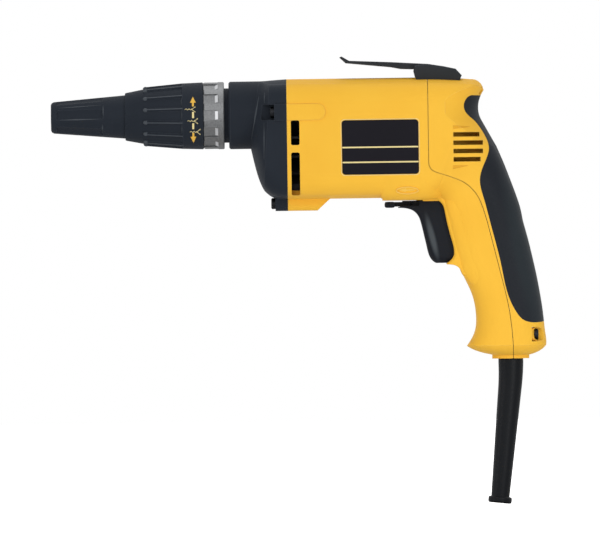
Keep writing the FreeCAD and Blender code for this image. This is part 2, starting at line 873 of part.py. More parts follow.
# Lines drawn on the side of the shell
# They are shares of the reach behind the barrel and of the depth under the spindle.
SEAM_SHARES = (
    (0.0, 0.209),
    (0.035, 0.240),
    (0.104, 0.253),
    (0.208, 0.270),
    (0.292, 0.287),
    (0.361, 0.312),
    (0.421, 0.349),
    (0.462, 0.395),
    (0.528, 0.510),
    (0.609, 0.668),
    (0.674, 0.808),
    (0.698, 0.898),
    (0.708, 0.980),
)
GRIP_SHARES = (
    (0.401, -0.068),
    (0.353, -0.063),
    (0.321, -0.0445),
    (0.312, -0.0175),
    (0.336, 0.0074),
    (0.393, 0.0324),
    (0.472, 0.0823),
    (0.510, 0.119),
    (0.5226, 0.1524),
    (0.5085, 0.1814),
    (0.4647, 0.2306),
    (0.4407, 0.280),
    (0.4477, 0.312),
    (0.4718, 0.354),
    (0.531, 0.465),
    (0.6116, 0.622),
    (0.698, 0.7876),
    (0.740, 0.8247),
    (0.791, 0.8537),
    (0.8856, 0.8678),
    (0.994, 0.8624),
    (1.08, 0.856),
)
FAR_SHARE = 2.0


def side_spot(x_share, z_share):
    return Vector(seam + s.rear_reach * x_share, 0, base_bottom * z_share)


def flow(points):
    """A smooth curve through points."""
    curve = Part.BSplineCurve()
    curve.interpolate(points)
    return curve.toShape()


def carried(edges, half_width):
    """A flat outline in X and Z carried to both sides."""
    face = Part.Face(Part.Wire(edges))
    face.translate(Vector(0, -float(half_width), 0))
    return face.extrude(Vector(0, 2 * float(half_width), 0))


def behind_seam(shift):
    """Everything behind the seam between barrel and rear cover."""
    edge = [side_spot(*shares) for shares in SEAM_SHARES]
    corners = [
        edge[-1],
        side_spot(SEAM_SHARES[-1][0], FAR_SHARE),
        side_spot(FAR_SHARE, FAR_SHARE),
        side_spot(FAR_SHARE, -FAR_SHARE),
        side_spot(0, -FAR_SHARE),
        edge[0],
    ]
    shape = carried([flow(edge)] + lines(corners), s.rear_reach)
    shape.translate(Vector(float(shift), 0, float(shift) / 2))
    return shape


def grip_side():
    """Everything on the soft grip's side of its edge."""
    edge = [side_spot(*shares) for shares in GRIP_SHARES]
    corners = [
        edge[-1],
        side_spot(FAR_SHARE, GRIP_SHARES[-1][1]),
        side_spot(FAR_SHARE, GRIP_SHARES[0][1]),
        edge[0],
    ]
    return carried([flow(edge)] + lines(corners), s.rear_reach)


both = ((-1, "left"), (1, "right"))
lever_top = -s.barrel_bottom - s.belly_pad_drop - s.running_gap
lever_x = seam - s.lever_pivot
hole_radius = s.screw_radius + s.screw_hole_gap
pocket_radius = s.screw_head_radius + s.running_gap
cord_place = seam + s.cord_exit
seam_low = seam + s.rear_reach * SEAM_SHARES[-1][0]

outer_skin = solid("outer_skin", skin(0))
hollow_skin = solid("hollow_skin", skin(s.wall))
grip_floor = solid("grip_floor", skin(s.grip_thickness))
cover_floor = solid("cover_floor", skin(s.grip_thickness + s.skin_gap))
cord_collar = cylinder(
    "cord_collar", s.cord_collar_radius, s.cord_collar_length + s.wall,
    (cord_place, 0, base_bottom + s.wall), DOWN
)
full_shell = cut("full_shell", fuse("full_form", [outer_skin, cord_collar]), [hollow_skin])
boot_hole = cylinder(
    "boot_hole", s.boot_radius + s.boot_gap, s.cord_collar_length + s.wall * 3,
    (cord_place, 0, base_bottom + s.wall * 2), DOWN
)

# Motor housing, the yellow barrel with the front of the handle
# The guard is a pair of cheeks beside the trigger and a lip under it.
GUARD_SHARES = (
    (0.131, 0.0),
    (0.262, 0.028),
    (0.338, 0.085),
    (0.373, 0.161),
    (0.408, 0.270),
    (0.446, 0.367),
    (0.500, 0.485),
    (0.542, 0.570),
    (0.577, 0.672),
    (0.565, 0.750),
    (0.500, 0.802),
    (0.396, 0.848),
)
GUARD_LIP_SHARES = (
    (0.423, 0.861),
    (0.562, 0.868),
    (0.665, 0.892),
    (0.738, 0.944),
    (0.796, 1.002),
)
GUARD_BACK_SHARE = 0.93
front_shell = cut("front_shell", full_shell, [solid("rear_side", behind_seam(0))])
inside_front = []
for way, word in both:
    inside_front.append(
        cylinder(
            f"side_boss_{word}", s.side_boss_radius, s.side_boss_length,
            (joint, s.case_screw_spread * way, s.case_screw_height),
        )
    )
    inside_front.append(
        cylinder(
            f"top_boss_{word}", s.top_boss_radius, s.top_boss_front,
            (seam - s.top_boss_front, s.top_screw_spread * way, s.top_screw_height)
        )
    )
    inside_front.append(
        cylinder(
            f"base_boss_{word}", s.base_boss_radius, s.base_boss_front,
            (seam_low - s.base_boss_front - s.seam_gap, s.base_screw_spread * way, -s.base_screw_drop),
        )
    )
    inside_front.append(
        box(
            f"top_web_{word}",
            (s.top_boss_front - s.seam_gap, s.top_web_half * 2, s.barrel_top - s.top_screw_height),
            (seam - s.top_boss_front, s.top_screw_spread * way - s.top_web_half, s.top_screw_height),
        )
    )
clamp_rib = slab(
    "clamp_rib", (seam + s.clamp_rib_end - s.base_boss_front, seam + s.clamp_rib_end),
    (-s.clamp_drop - s.clamp_height / 2, -s.clamp_drop + s.clamp_height / 2), s.clamp_half_width,
)
web_run = (joint + s.vent_start - s.wall / 2, joint + s.vent_start + s.vent_width + s.wall / 2)
web_rise = (-s.barrel_bottom, -s.vent_web_drop)
vent_web = cut(
    "vent_web", slab("vent_web_block", web_run, web_rise, s.vent_web_half_width),
    [slab("vent_web_gap", web_run, web_rise, s.vent_web_half_width - s.wall / 2)],
)
front_inside = common("front_inside", outer_skin, fuse("front_bosses", inside_front + [clamp_rib, vent_web]))
outside_front = []
for way, word in both:
    low = s.barrel_half_width - s.wall if way > 0 else -s.barrel_half_width - s.pad_proud
    outside_front.append(
        box(
            f"side_pad_{word}", (s.pad_length - s.pad_radius, s.wall + s.pad_proud, s.pad_radius * 2),
            (joint, low, s.case_screw_height - s.pad_radius),
        )
    )
    outside_front.append(
        cylinder(
            f"side_pad_end_{word}", s.pad_radius, s.wall + s.pad_proud,
            (joint + s.pad_length - s.pad_radius, low, s.case_screw_height), ACROSS,
        )
    )
belly_boss = padded(
    "belly_boss", "XZ_Plane",
    [
        (joint, -s.barrel_bottom + s.wall / 2),
        (joint, -s.belly_screw_drop - s.belly_boss_radius),
        (joint + s.belly_boss_length, -s.belly_screw_drop - s.belly_boss_radius),
        (joint + s.belly_boss_length + s.belly_boss_slope, -s.barrel_bottom + s.wall / 2),
    ],
    s.belly_boss_radius * 2,
)
rounded(
    belly_boss, s.belly_boss_radius * 0.9,
    lambda e: runs_along(e, 0) and e.BoundBox.ZMax < -float(s.belly_screw_drop),
)
belly_pad = slab(
    "belly_pad", (joint + s.belly_pad_start, joint + s.belly_pad_end),
    (-s.barrel_bottom - s.belly_pad_drop, -s.barrel_bottom + s.wall / 2), s.belly_pad_half_width,
)


def guard_spot(x_share, z_share):
    return Vector(seam + s.guard_reach * x_share, 0, -s.guard_top - s.guard_height * z_share)


guard_edge = [guard_spot(*shares) for shares in GUARD_SHARES]
guard_lip = [guard_spot(*shares) for shares in GUARD_LIP_SHARES]
guard_corners = [
    guard_lip[-1],
    guard_spot(GUARD_BACK_SHARE, GUARD_LIP_SHARES[-1][1]),
    guard_spot(GUARD_BACK_SHARE, -GUARD_SHARES[1][1]),
    guard_spot(GUARD_SHARES[0][0], -GUARD_SHARES[1][1]),
    guard_edge[0],
]
guard_outline = [flow(guard_edge)] + lines([guard_edge[-1], guard_lip[0]])
guard_outline += [flow(guard_lip)] + lines(guard_corners)
guard_form = carried(guard_outline, s.guard_half_width)
guard_edges = [
    edge
    for edge in guard_form.Edges
    if lies_flat(edge) and edge.BoundBox.ZLength > float(s.guard_height) * 0.7
    and edge.BoundBox.XMin < float(seam + s.guard_reach * 0.5)
]
guard = solid("guard", guard_form.makeFillet(float(s.guard_round), guard_edges))
front_form = fuse("front_form", [front_shell, front_inside, belly_boss, belly_pad, guard] + outside_front)
front_cuts = [boot_hole]
for name, top, height in (
    ("vent_one", s.vent_one_top, s.vent_one_height),
    ("vent_two", s.vent_two_top, s.vent_two_height),
):
    near, far = joint + s.vent_start, joint + s.vent_start + s.vent_width
    vent = padded(
        name, "XZ_Plane", [(near, -top), (far, -top), (far, -top - height), (near, -top - height)],
        s.barrel_half_width * 3
    )
    rounded(vent, s.vent_round, lambda e: runs_along(e, 1))
    front_cuts.append(cut(name + "_room", vent, [vent_web]))


def label_block(name, grow, way, depth):
    """A round-cornered block on one side of the barrel where the plate goes."""
    near, far = joint + s.label_start - grow, joint + s.label_start + s.label_length + grow
    high, low_edge = -s.label_top + grow, -s.label_top - s.label_height - grow
    block = padded(
        name, "XZ_Plane", [(near, high), (far, high), (far, low_edge), (near, low_edge)], depth,
        (0, (s.barrel_half_width - depth / 2) * way, 0),
    )
    return rounded(block, s.label_round, lambda e: runs_along(e, 1))


for way, word in both:
    front_cuts.append(label_block(f"label_recess_{word}", s.label_gap, way, s.label_thickness))
front_cuts.append(
    slab(
        "trigger_slot", (seam + s.trigger_slot_front, seam + s.trigger_slot_front + s.trigger_slot_depth),
        (-s.trigger_top - s.trigger_height - s.running_gap, lever_top + s.running_gap),
        s.trigger_half_width + s.trigger_gap,
    )
)
front_cuts.append(
    cylinder(
        "lever_hole", s.lever_pin_radius + s.running_gap, s.wall * 3,
        (seam - s.lever_pivot, 0, -s.barrel_bottom - s.wall), UP,
    )
)
for way, word in both:
    front_cuts.append(
        cylinder(
            f"case_hole_{word}", hole_radius, s.side_boss_length - s.screw_hole_gap * 8,
            (joint, s.case_screw_spread * way, s.case_screw_height),
        )
    )
    front_cuts.append(
        cylinder(
            f"top_hole_{word}", hole_radius, s.top_boss_front - s.wall / 2,
            (seam - s.top_boss_front + s.wall / 2, s.top_screw_spread * way, s.top_screw_height),
        )
    )
    front_cuts.append(
        cylinder(
            f"base_hole_{word}", hole_radius, s.base_boss_front - s.wall * 2,
            (seam_low - s.base_boss_front + s.wall * 2, s.base_screw_spread * way, -s.base_screw_drop),
        )
    )
    front_cuts.append(
        cylinder(
            f"clamp_hole_{word}", s.clamp_screw_radius + s.screw_hole_gap, s.clamp_screw_length,
            (seam + s.clamp_start + s.clamp_thick, s.clamp_screw_spread * way, -s.clamp_drop), AHEAD,
        )
    )
front_cuts.append(
    cylinder(
        "belly_hole", hole_radius, s.case_screw_length - s.case_screw_seat + s.wall / 2,
        (joint, 0, -s.belly_screw_drop),
    )
)
piece(cut("motor_housing", front_form, front_cuts), "motor_housing")

# Rear cover of the handle and its soft grip
rear_shell = common("rear_shell", full_shell, solid("rear_side_clear", behind_seam(s.seam_gap)))
grip_block = solid("grip_block", grip_side())
rear_cuts = [cut("grip_room", grip_block, [cover_floor])]
for way, word in both:
    window_near = s.base_screw_spread + s.screw_hole_gap
    low = window_near if way > 0 else -window_near - s.window_depth
    rear_cuts.append(
        box(
            f"window_{word}", (s.window_length, s.window_depth, s.window_height),
            (seam + s.window_start, low, -s.window_top - s.window_height),
        )
    )
LOUVRE_SHARES = (0.94, 1.06, 1.06, 0.97)
for i, share in enumerate(LOUVRE_SHARES):
    top = -s.louvre_top - s.louvre_pitch * i
    rear_cuts.append(
        slab(
            f"louvre_{i}", (seam + s.louvre_start, seam + s.louvre_start + s.louvre_length * share),
            (top - s.louvre_height, top), s.barrel_half_width * 1.5,
        )
    )
opened_cover = cut("opened_cover", rear_shell, rear_cuts)
inside_rear = []
for way, word in both:
    inside_rear.append(
        cylinder(
            f"top_post_{word}", s.top_boss_radius, s.top_boss_rear,
            (seam + s.seam_gap, s.top_screw_spread * way, s.top_screw_height),
        )
    )
    inside_rear.append(
        cylinder(
            f"base_post_{word}", s.base_boss_radius, s.base_boss_rear,
            (seam_low + s.seam_gap, s.base_screw_spread * way, -s.base_screw_drop),
        )
    )
    inside_rear.append(
        box(
            f"top_post_web_{word}",
            (s.top_boss_rear * 0.8, s.top_web_half * 2, s.barrel_top - s.top_screw_height),
            (seam + s.seam_gap, s.top_screw_spread * way - s.top_web_half, s.top_screw_height),
        )
    )
inside_rear.append(
    cylinder(
        "clip_boss", s.top_boss_radius, s.clip_boss_length,
        (seam + s.clip_screw_place, 0, s.barrel_top - s.wall / 2), DOWN
    )
)
inside_rear.append(
    slab(
        "louvre_web", (seam + s.web_start, seam + s.web_start + s.web_length),
        (-s.web_drop, s.barrel_top), s.web_half,
    )
)
rear_inside = common("rear_inside", cover_floor, fuse("rear_posts", inside_rear))
rear_form = fuse("rear_form", [opened_cover, rear_inside])
rear_holes = [boot_hole]
for way, word in both:
    rear_holes.append(
        cylinder(
            f"top_post_hole_{word}", hole_radius, s.top_boss_rear * 2,
            (seam, s.top_screw_spread * way, s.top_screw_height),
        )
    )
    rear_holes.append(
        cylinder(
            f"top_post_seat_{word}", s.top_head_radius + s.running_gap, s.top_boss_rear * 2,
            (seam + s.top_boss_rear - s.wall, s.top_screw_spread * way, s.top_screw_height),
        )
    )
    rear_holes.append(
        cylinder(
            f"base_post_hole_{word}", hole_radius, s.base_boss_rear * 2,
            (seam_low, s.base_screw_spread * way, -s.base_screw_drop),
        )
    )
    rear_holes.append(
        cylinder(
            f"base_post_seat_{word}", pocket_radius, s.base_boss_rear * 2,
            (seam_low + s.base_screw_seat, s.base_screw_spread * way, -s.base_screw_drop),
        )
    )
rear_holes.append(
    cylinder(
        "clip_hole", hole_radius, s.clip_boss_length + s.wall,
        (seam + s.clip_screw_place, 0, s.barrel_top + s.wall), DOWN
    )
)
piece(cut("handle_cover", rear_form, rear_holes), "handle_cover")
grip_form = cut("grip_form", common("grip_skin", outer_skin, grip_block), [grip_floor])
piece(grip_form, "grip_overmould")


# Gear case, the black nose of the tool
bell = solid("bell_form", gear_case_form(0))
bell_hollow = solid("bell_hollow", gear_case_form(s.wall))
spigot_front = ring_front + s.ring_bore_depth * 0.2
groove = snout_front - s.o_ring_setback
snout = turned(
    "snout",
    [
        (spigot_front, 0),
        (spigot_front, s.spigot_radius - s.spigot_edge),
        (spigot_front + s.spigot_edge, s.spigot_radius),
        (groove - s.o_ring_thickness, s.spigot_radius),
        (groove - s.o_ring_thickness, s.spigot_radius - s.o_ring_thickness * 2),
        (groove + s.o_ring_thickness, s.spigot_radius - s.o_ring_thickness * 2),
        (groove + s.o_ring_thickness, s.spigot_radius),
        (snout_front, s.spigot_radius),
        (snout_front, s.snout_radius - s.snout_edge),
        (snout_front + s.snout_edge, s.snout_radius),
        (bell_front + s.snout_run, s.snout_radius),
        (bell_front + s.snout_run, 0),
    ],
)
bush_front = spigot_front + s.seal_length
bush_rear = bush_front + s.front_bush_length
gear_front = bell_front + s.gear_start
gear_rear = gear_front + s.gear_length
plate_front = joint - s.plate_thickness
case_bore = turned(
    "case_bore",
    [
        (spigot_front - s.seal_length, 0),
        (spigot_front - s.seal_length, s.seal_lip_radius),
        (bush_front, s.seal_lip_radius),
        (bush_front, s.front_bush_radius),
        (bush_rear, s.front_bush_radius),
        (bush_rear, s.clutch_bore),
        (gear_front - s.running_gap * 2, s.clutch_bore),
        (gear_front - s.running_gap * 2, s.gear_bore_radius),
        (plate_front, s.gear_bore_radius),
        (plate_front, 0),
    ],
)
case_shell = cut("case_shell", fuse("case_form", [bell, snout]), [bell_hollow, case_bore])
recess_front = joint - s.case_screw_seat - s.recess_length
recess_inner = s.case_screw_spread - s.recess_depth
case_blocks = []
for way, word in both:
    low = recess_inner - s.recess_floor if way > 0 else -s.barrel_half_width
    case_blocks.append(
        box(
            f"case_block_{word}",
            (
                joint - recess_front + s.recess_floor,
                s.barrel_half_width - recess_inner + s.recess_floor,
                s.recess_height + s.recess_floor * 2,
            ),
            (recess_front - s.recess_floor, low, s.case_screw_height - s.recess_height / 2 - s.recess_floor),
        )
    )
case_inside = common("case_inside", bell, fuse("case_blocks", case_blocks))
case_extra = []
for way, word in both:
    low = recess_inner if way > 0 else -s.barrel_half_width - s.pad_proud
    case_extra.append(
        box(
            f"case_pad_{word}",
            (s.case_screw_seat, s.barrel_half_width - recess_inner + s.pad_proud, s.pad_radius * 2),
            (joint - s.case_screw_seat, low, s.case_screw_height - s.pad_radius),
        )
    )
case_belly = padded(
    "case_belly", "XZ_Plane",
    [
        (joint - s.case_screw_seat, -s.barrel_bottom + s.wall * 0.6),
        (joint - s.case_screw_seat, -s.belly_screw_drop - s.belly_boss_radius),
        (joint, -s.belly_screw_drop - s.belly_boss_radius),
        (joint, -s.barrel_bottom + s.wall * 0.6),
    ],
    s.belly_boss_radius * 2,
)
rounded(
    case_belly, s.belly_boss_radius * 0.9,
    lambda e: runs_along(e, 0) and e.BoundBox.ZMax < -float(s.belly_screw_drop),
)
case_cuts = []
for way, word in both:
    low = recess_inner if way > 0 else -s.barrel_half_width - s.wall
    case_cuts.append(
        box(
            f"case_recess_{word}",
            (s.recess_length, s.barrel_half_width - recess_inner + s.wall, s.recess_height),
            (recess_front, low, s.case_screw_height - s.recess_height / 2),
        )
    )
    case_cuts.append(
        cylinder(
            f"case_screw_way_{word}", hole_radius, s.bell_length,
            (recess_front, s.case_screw_spread * way, s.case_screw_height),
        )
    )
case_cuts.append(
    cylinder("case_belly_way", hole_radius, s.bell_length, (bell_front, 0, -s.belly_screw_drop)),
)
case_cuts.append(
    cylinder(
        "case_belly_seat", pocket_radius, s.bell_length - s.case_screw_seat,
        (bell_front, 0, -s.belly_screw_drop),
    ),
)
piece(
    cut("gear_case", fuse("case_whole", [case_shell, case_inside, case_belly] + case_extra), case_cuts),
    "gear_case"
)


def screw(seat, length, direction, shank, head, head_height):
    """A screw with its head's underside at the seat and its shank running along the direction."""
    d = Vector(*direction)
    seat = Vector(*seat)
    form = Part.makeCylinder(float(shank), float(length), seat, d)
    form = form.fuse(Part.makeCylinder(float(head), float(head_height), seat, d * -1))
    top = seat - d * float(head_height)
    near = float(head_height) * NEARLY_ZERO_SHARE
    crown = [edge for edge in form.Edges if abs((edge.CenterOfMass - top).dot(d)) < near]
    form = form.makeFillet(float(head_height) * 0.35, crown)
    return form.cut(Part.makeCylinder(float(head) * 0.45, float(head_height) * 0.6, top, d))


case_screws = [
    screw(
        (joint - s.case_screw_seat, s.case_screw_spread * way, s.case_screw_height),
        s.case_screw_length, BACK,
        s.screw_radius, s.screw_head_radius, s.screw_head_height,
    )
    for way, word in both
]
case_screws.append(
    screw(
        (joint - s.case_screw_seat, 0, -s.belly_screw_drop), s.case_screw_length, BACK,
        s.screw_radius, s.screw_head_radius, s.screw_head_height,
    )
)
piece(solid("gear_case_screws", Part.Compound(case_screws)), "gear_case_screws")
cover_screws = []
for way, word in both:
    cover_screws.append(
        screw(
            (seam + s.top_boss_rear - s.wall, s.top_screw_spread * way, s.top_screw_height),
            s.top_screw_length - s.wall, AHEAD,
            s.screw_radius, s.top_head_radius, s.top_head_height,
        )
    )
    cover_screws.append(
        screw(
            (seam_low + s.base_screw_seat, s.base_screw_spread * way, -s.base_screw_drop),
            s.base_screw_length - s.wall, AHEAD,
            s.screw_radius, s.screw_head_radius, s.screw_head_height,
        )
    )
piece(solid("handle_cover_screws", Part.Compound(cover_screws)), "handle_cover_screws")

# Plate that closes the gear case and carries the two rear bearings
plate_blank = solid(
    "plate_blank",
    Part.Face(barrel_section(plate_front, s.wall + s.plate_gap)).extrude(
        Vector(s.plate_thickness, 0, 0),
    )
)
plate_cuts = [
    cylinder(
        "plate_bearing_seat", s.bearing_radius + s.skin_gap, s.plate_thickness,
        (plate_front, 0, motor_axis),
    ),
    cylinder("plate_bush_seat", s.rear_bush_radius + s.skin_gap, s.plate_thickness, (plate_front, 0, 0)),
]
for way, word in both:
    low = recess_inner - s.recess_floor - s.running_gap if way > 0 else -s.barrel_half_width
    plate_cuts.append(
        box(
            f"plate_notch_{word}",
            (
                s.plate_thickness, s.barrel_half_width - recess_inner + s.recess_floor + s.running_gap,
                s.recess_height + s.recess_floor * 3,
            ),
            (plate_front, low, s.case_screw_height - s.recess_height / 2 - s.recess_floor * 1.5),
        )
    )
piece(cut("bearing_plate", plate_blank, plate_cuts), "bearing_plate")

# Labels
for way, word in both:
    piece(label_block(f"label_plate_{word}", 0, way, s.label_thickness - s.skin_gap), f"label_plate_{word}")

# Belt clip on the roof
CLIP_TOP_SHARES = ((1.0, 1.0), (0.977, 1.04), (0.89, 0.83), (0.41, 0.74), (0.0, 0.635))
CLIP_UNDER_SHARES = ((0.0, 0.42), (0.18, 0.40), (0.30, 0.42), (0.41, 0.51), (0.93, 0.73))


def clip_spot(share):
    return (seam - s.clip_reach * share[0], s.barrel_top + s.clip_rise * share[1])


clip_outline = [clip_spot(share) for share in CLIP_TOP_SHARES + CLIP_UNDER_SHARES]
tongue = padded("clip_tongue", "XZ_Plane", clip_outline, s.clip_half_width * 2)
rounded(
    tongue, s.clip_edge_round,
    lambda e: lies_flat(e)
    and e.BoundBox.XLength > float(s.clip_reach) * 0.3
    and e.BoundBox.ZMin > float(s.barrel_top + s.clip_rise * 0.62),
)
clip_rear = seam - s.clip_base_front + s.clip_base_length
clip_foot = padded(
    "clip_foot", "XZ_Plane",
    [
        (seam - s.clip_base_front, s.barrel_top + s.clip_rise * 0.32),
        (seam - s.clip_base_front * 0.9, s.barrel_top + s.clip_rise * 0.55),
        (seam, s.barrel_top + s.clip_rise * 0.635),
        (seam + s.clip_base_length * 0.34, s.barrel_top + s.clip_rise * 0.51),
        (seam + s.clip_base_length * 0.595, s.barrel_top + s.clip_rise * 0.38),
        (clip_rear, s.barrel_top + s.clip_rise * 0.06),
        (clip_rear - s.clip_base_sink * 0.6, s.barrel_top - s.clip_base_sink),
        (seam - s.clip_base_front * 0.77, s.barrel_top - s.clip_base_sink),
    ],
    s.clip_base_half_width * 2,
)
rounded(clip_foot, s.clip_edge_round * 2, lambda e: lies_flat(e) and e.BoundBox.ZMin > float(s.barrel_top))
clip_cuts = [
    solid("clip_bed", skin(-s.skin_gap)),
    cylinder(
        "clip_screw_way", hole_radius, s.clip_rise * 2,
        (seam + s.clip_screw_place, 0, s.barrel_top - s.clip_base_sink), UP,
    ),
    cylinder(
        "clip_screw_seat", pocket_radius, s.clip_rise,
        (seam + s.clip_screw_place, 0, s.barrel_top + s.clip_rise * 0.25), UP
    ),
]
piece(cut("belt_clip", fuse("clip_form", [tongue, clip_foot]), clip_cuts), "belt_clip")
piece(
    solid(
        "belt_clip_screw",
        screw(
            (seam + s.clip_screw_place, 0, s.barrel_top + s.clip_rise * 0.25), s.clip_boss_length, DOWN,
            s.screw_radius, s.screw_head_radius, s.screw_head_height,
        ),
    ),
    "belt_clip_screw",
)

# Boot where the cord leaves the handle
BEND_DEGREES = 5.8
BEND_STEPS = 3
boot_top = base_bottom + s.wall + s.boot_gap
flange_top = boot_top + s.boot_flange_thick


def boot_path():
    """Places and directions down the middle of the boot, first straight, then bent, then straight."""
    places = []
    bend_top = float(base_bottom - s.cord_collar_length - s.boot_straight)
    bend = float(s.boot_bend_radius)
    for step in range(BEND_STEPS + 1):
        angle = math.radians(BEND_DEGREES) * step / BEND_STEPS
        side, drop = bend * (1 - math.cos(angle)), bend * math.sin(angle)
        place = Vector(float(cord_place) - side, 0, bend_top - drop)
        places.append((place, Vector(-math.sin(angle), 0, -math.cos(angle))))
    last, way = places[-1]
    return places, last, way


def round_wire(place, way, radius):
    return Part.Wire(Part.Circle(place, way, float(radius)).toShape())


bend_places, bend_end, tail_way = boot_path()
boot_end = bend_end + tail_way * float(s.boot_tail_length)
bend_start = bend_places[0][0]
taper_step = (s.boot_radius - s.boot_end_radius) * 0.07
bend_wires = [
    round_wire(place, way, s.boot_radius - taper_step * i)
    for i, (place, way) in enumerate(bend_places)
]
boot_parts = [
    Part.makeCylinder(
        float(s.boot_flange_radius), float(s.boot_flange_thick), Vector(cord_place, 0, boot_top),
    ),
    Part.makeCylinder(float(s.boot_radius), float(boot_top) - bend_start.z, bend_start),
    Part.makeLoft(bend_wires, True, False),
    Part.makeCone(
        float(s.boot_radius - taper_step * BEND_STEPS), float(s.boot_end_radius),
        float(s.boot_tail_length), bend_end, tail_way
    ),
]
end_ring = Part.makeCylinder(
    float(s.boot_end_flange_radius), float(s.boot_end_flange_length),
    boot_end - tail_way * float(s.boot_end_flange_length), tail_way
)
boot_parts.append(
    end_ring.makeFillet(float(s.boot_end_flange_length) * 0.3, end_ring.Edges[:1] + end_ring.Edges[2:3]),
)
bore_wires = [round_wire(place, way, s.boot_bore) for place, way in bend_places]
bore_parts = [
    Part.makeCylinder(float(s.boot_bore), float(flange_top) - bend_start.z, bend_start),
    Part.makeLoft(bore_wires, True, False),
    Part.makeCylinder(float(s.boot_bore), float(s.boot_tail_length), bend_end, tail_way),
]
boot_form = boot_parts[0].fuse(boot_parts[1:])
boot_bore = bore_parts[0].fuse(bore_parts[1:])
piece(solid("cord_boot", boot_form.cut(boot_bore)), "cord_boot")

# Cord clamp inside the handle
clamp_x = seam + s.clamp_start
clamp_bar = slab(
    "clamp_bar", (clamp_x, clamp_x + s.clamp_thick),
    (-s.clamp_drop - s.clamp_height / 2, -s.clamp_drop + s.clamp_height / 2), s.clamp_half_width
)
clamp_ways = [
    cylinder(
        f"clamp_way_{word}", s.clamp_screw_radius + s.screw_hole_gap, s.clamp_thick,
        (clamp_x, s.clamp_screw_spread * way, -s.clamp_drop)
    )
    for way, word in both
]
piece(cut("cord_clamp", clamp_bar, clamp_ways), "cord_clamp")
clamp_screws = [
    screw(
        (clamp_x + s.clamp_thick, s.clamp_screw_spread * way, -s.clamp_drop),
        s.clamp_screw_length - s.screw_hole_gap * 4, AHEAD,
        s.clamp_screw_radius, s.clamp_head_radius, s.clamp_head_height,
    )
    for way, word in both
]
piece(solid("cord_clamp_screws", Part.Compound(clamp_screws)), "cord_clamp_screws")

# Trigger, switch and reversing lever
TRIGGER_SHARES = (
    (1.0, 0.015),
    (0.68, 0.030),
    (0.50, 0.070),
    (0.34, 0.165),
    (0.25, 0.305),
    (0.165, 0.505),
    (0.075, 0.725),
    (-0.02, 0.895),
    (-0.215, 1.0),
)


def trigger_spot(share):
    return Vector(seam - s.trigger_reach * share[0], 0, -s.trigger_top - s.trigger_height * share[1])


trigger_edge = [trigger_spot(share) for share in TRIGGER_SHARES]
trigger_rear = float(seam + s.trigger_back)
trigger_corners = [
    trigger_edge[-1],
    Vector(trigger_rear, 0, trigger_edge[-1].z),
    Vector(trigger_rear, 0, -float(s.trigger_top)),
    Vector(trigger_edge[0].x, 0, -float(s.trigger_top)),
    trigger_edge[0],
]
trigger_form = carried([flow(trigger_edge)] + lines(trigger_corners), s.trigger_half_width)
front_edges = [
    edge
    for edge in trigger_form.Edges
    if lies_flat(edge)
    and edge.BoundBox.ZLength > float(s.trigger_height) * 0.9
    and edge.BoundBox.XMin < float(seam)
]
trigger_form = trigger_form.makeFillet(
    float(s.trigger_tip_round), float(s.trigger_foot_round), front_edges
)
neck_width = float(s.trigger_half_width)
neck = Part.makeBox(
    trigger_rear - float(lever_x), neck_width * 2, float(lever_top - s.skin_gap + s.trigger_top),
    Vector(lever_x, -neck_width, -float(s.trigger_top)),
)
lever_room = Part.makeCylinder(
    float(s.lever_disc_radius + s.running_gap), neck_width, Vector(lever_x, 0, -float(s.trigger_top)),
)
trigger_form = trigger_form.fuse(neck.cut(lever_room))
stem = Part.makeCylinder(
    float(s.trigger_stem_radius), float(s.trigger_stem_length),
    Vector(trigger_rear, 0, -float(s.stem_drop)), Vector(1, 0, 0)
)
piece(solid("trigger", trigger_form.fuse(stem)), "trigger")
switch_front = seam + s.switch_front
switch_block = slab(
    "switch_block", (switch_front, switch_front + s.switch_length),
    (-s.switch_top - s.switch_height, -s.switch_top), s.switch_half_width
)
stem_way = cylinder(
    "stem_way", s.trigger_stem_radius + s.running_gap, s.trigger_stem_length + s.running_gap,
    (switch_front, 0, -s.stem_drop)
)
piece(cut("switch_body", switch_block, [stem_way]), "switch_body")
spring_room = s.switch_front - s.trigger_back
piece(
    solid(
        "trigger_spring",
        set_at(
            coil(s.trigger_spring_radius, s.spring_wire, spring_room - s.skin_gap * 2, 4),
            (trigger_rear + float(s.skin_gap), 0, -s.stem_drop), BACK,
        ),
    ),
    "trigger_spring",
)
lever_tip = lever_x - s.lever_reach
lever_parts = [
    cylinder("lever_disc", s.lever_disc_radius, s.lever_thick, (lever_x, 0, lever_top), DOWN),
    slab(
        "lever_stem", (lever_tip, lever_x), (lever_top - s.lever_thick, lever_top - s.lever_step),
        s.lever_half_width,
    ),
    slab(
        "lever_neck", (lever_x - s.lever_neck, lever_x), (lever_top - s.lever_thick, lever_top),
        s.lever_half_width,
    ),
    slab(
        "lever_knob", (lever_tip, lever_tip + s.lever_knob_length),
        (lever_top - s.lever_knob_thick, lever_top - s.lever_step), s.lever_knob_half_width,
    ),
    cylinder("lever_pin", s.lever_pin_radius, s.lever_pin_length, (lever_x, 0, lever_top), UP),
]
for i in range(COUNTS["lever_rib_count"]):
    near = lever_tip + s.lever_rib + s.lever_rib_pitch * i
    lever_parts.append(
        slab(
            f"lever_rib_{i}", (near, near + s.lever_rib_width),
            (lever_top - s.lever_knob_thick, lever_top - s.lever_step),
            s.lever_knob_half_width + s.lever_rib,
        )
    )
piece(fuse("reverse_lever", lever_parts), "reverse_lever")

# Motor: stator, coils, fan baffle, rear bracket and brushes
stator_front = joint + s.stator_start
stator_rear = stator_front + s.stator_length


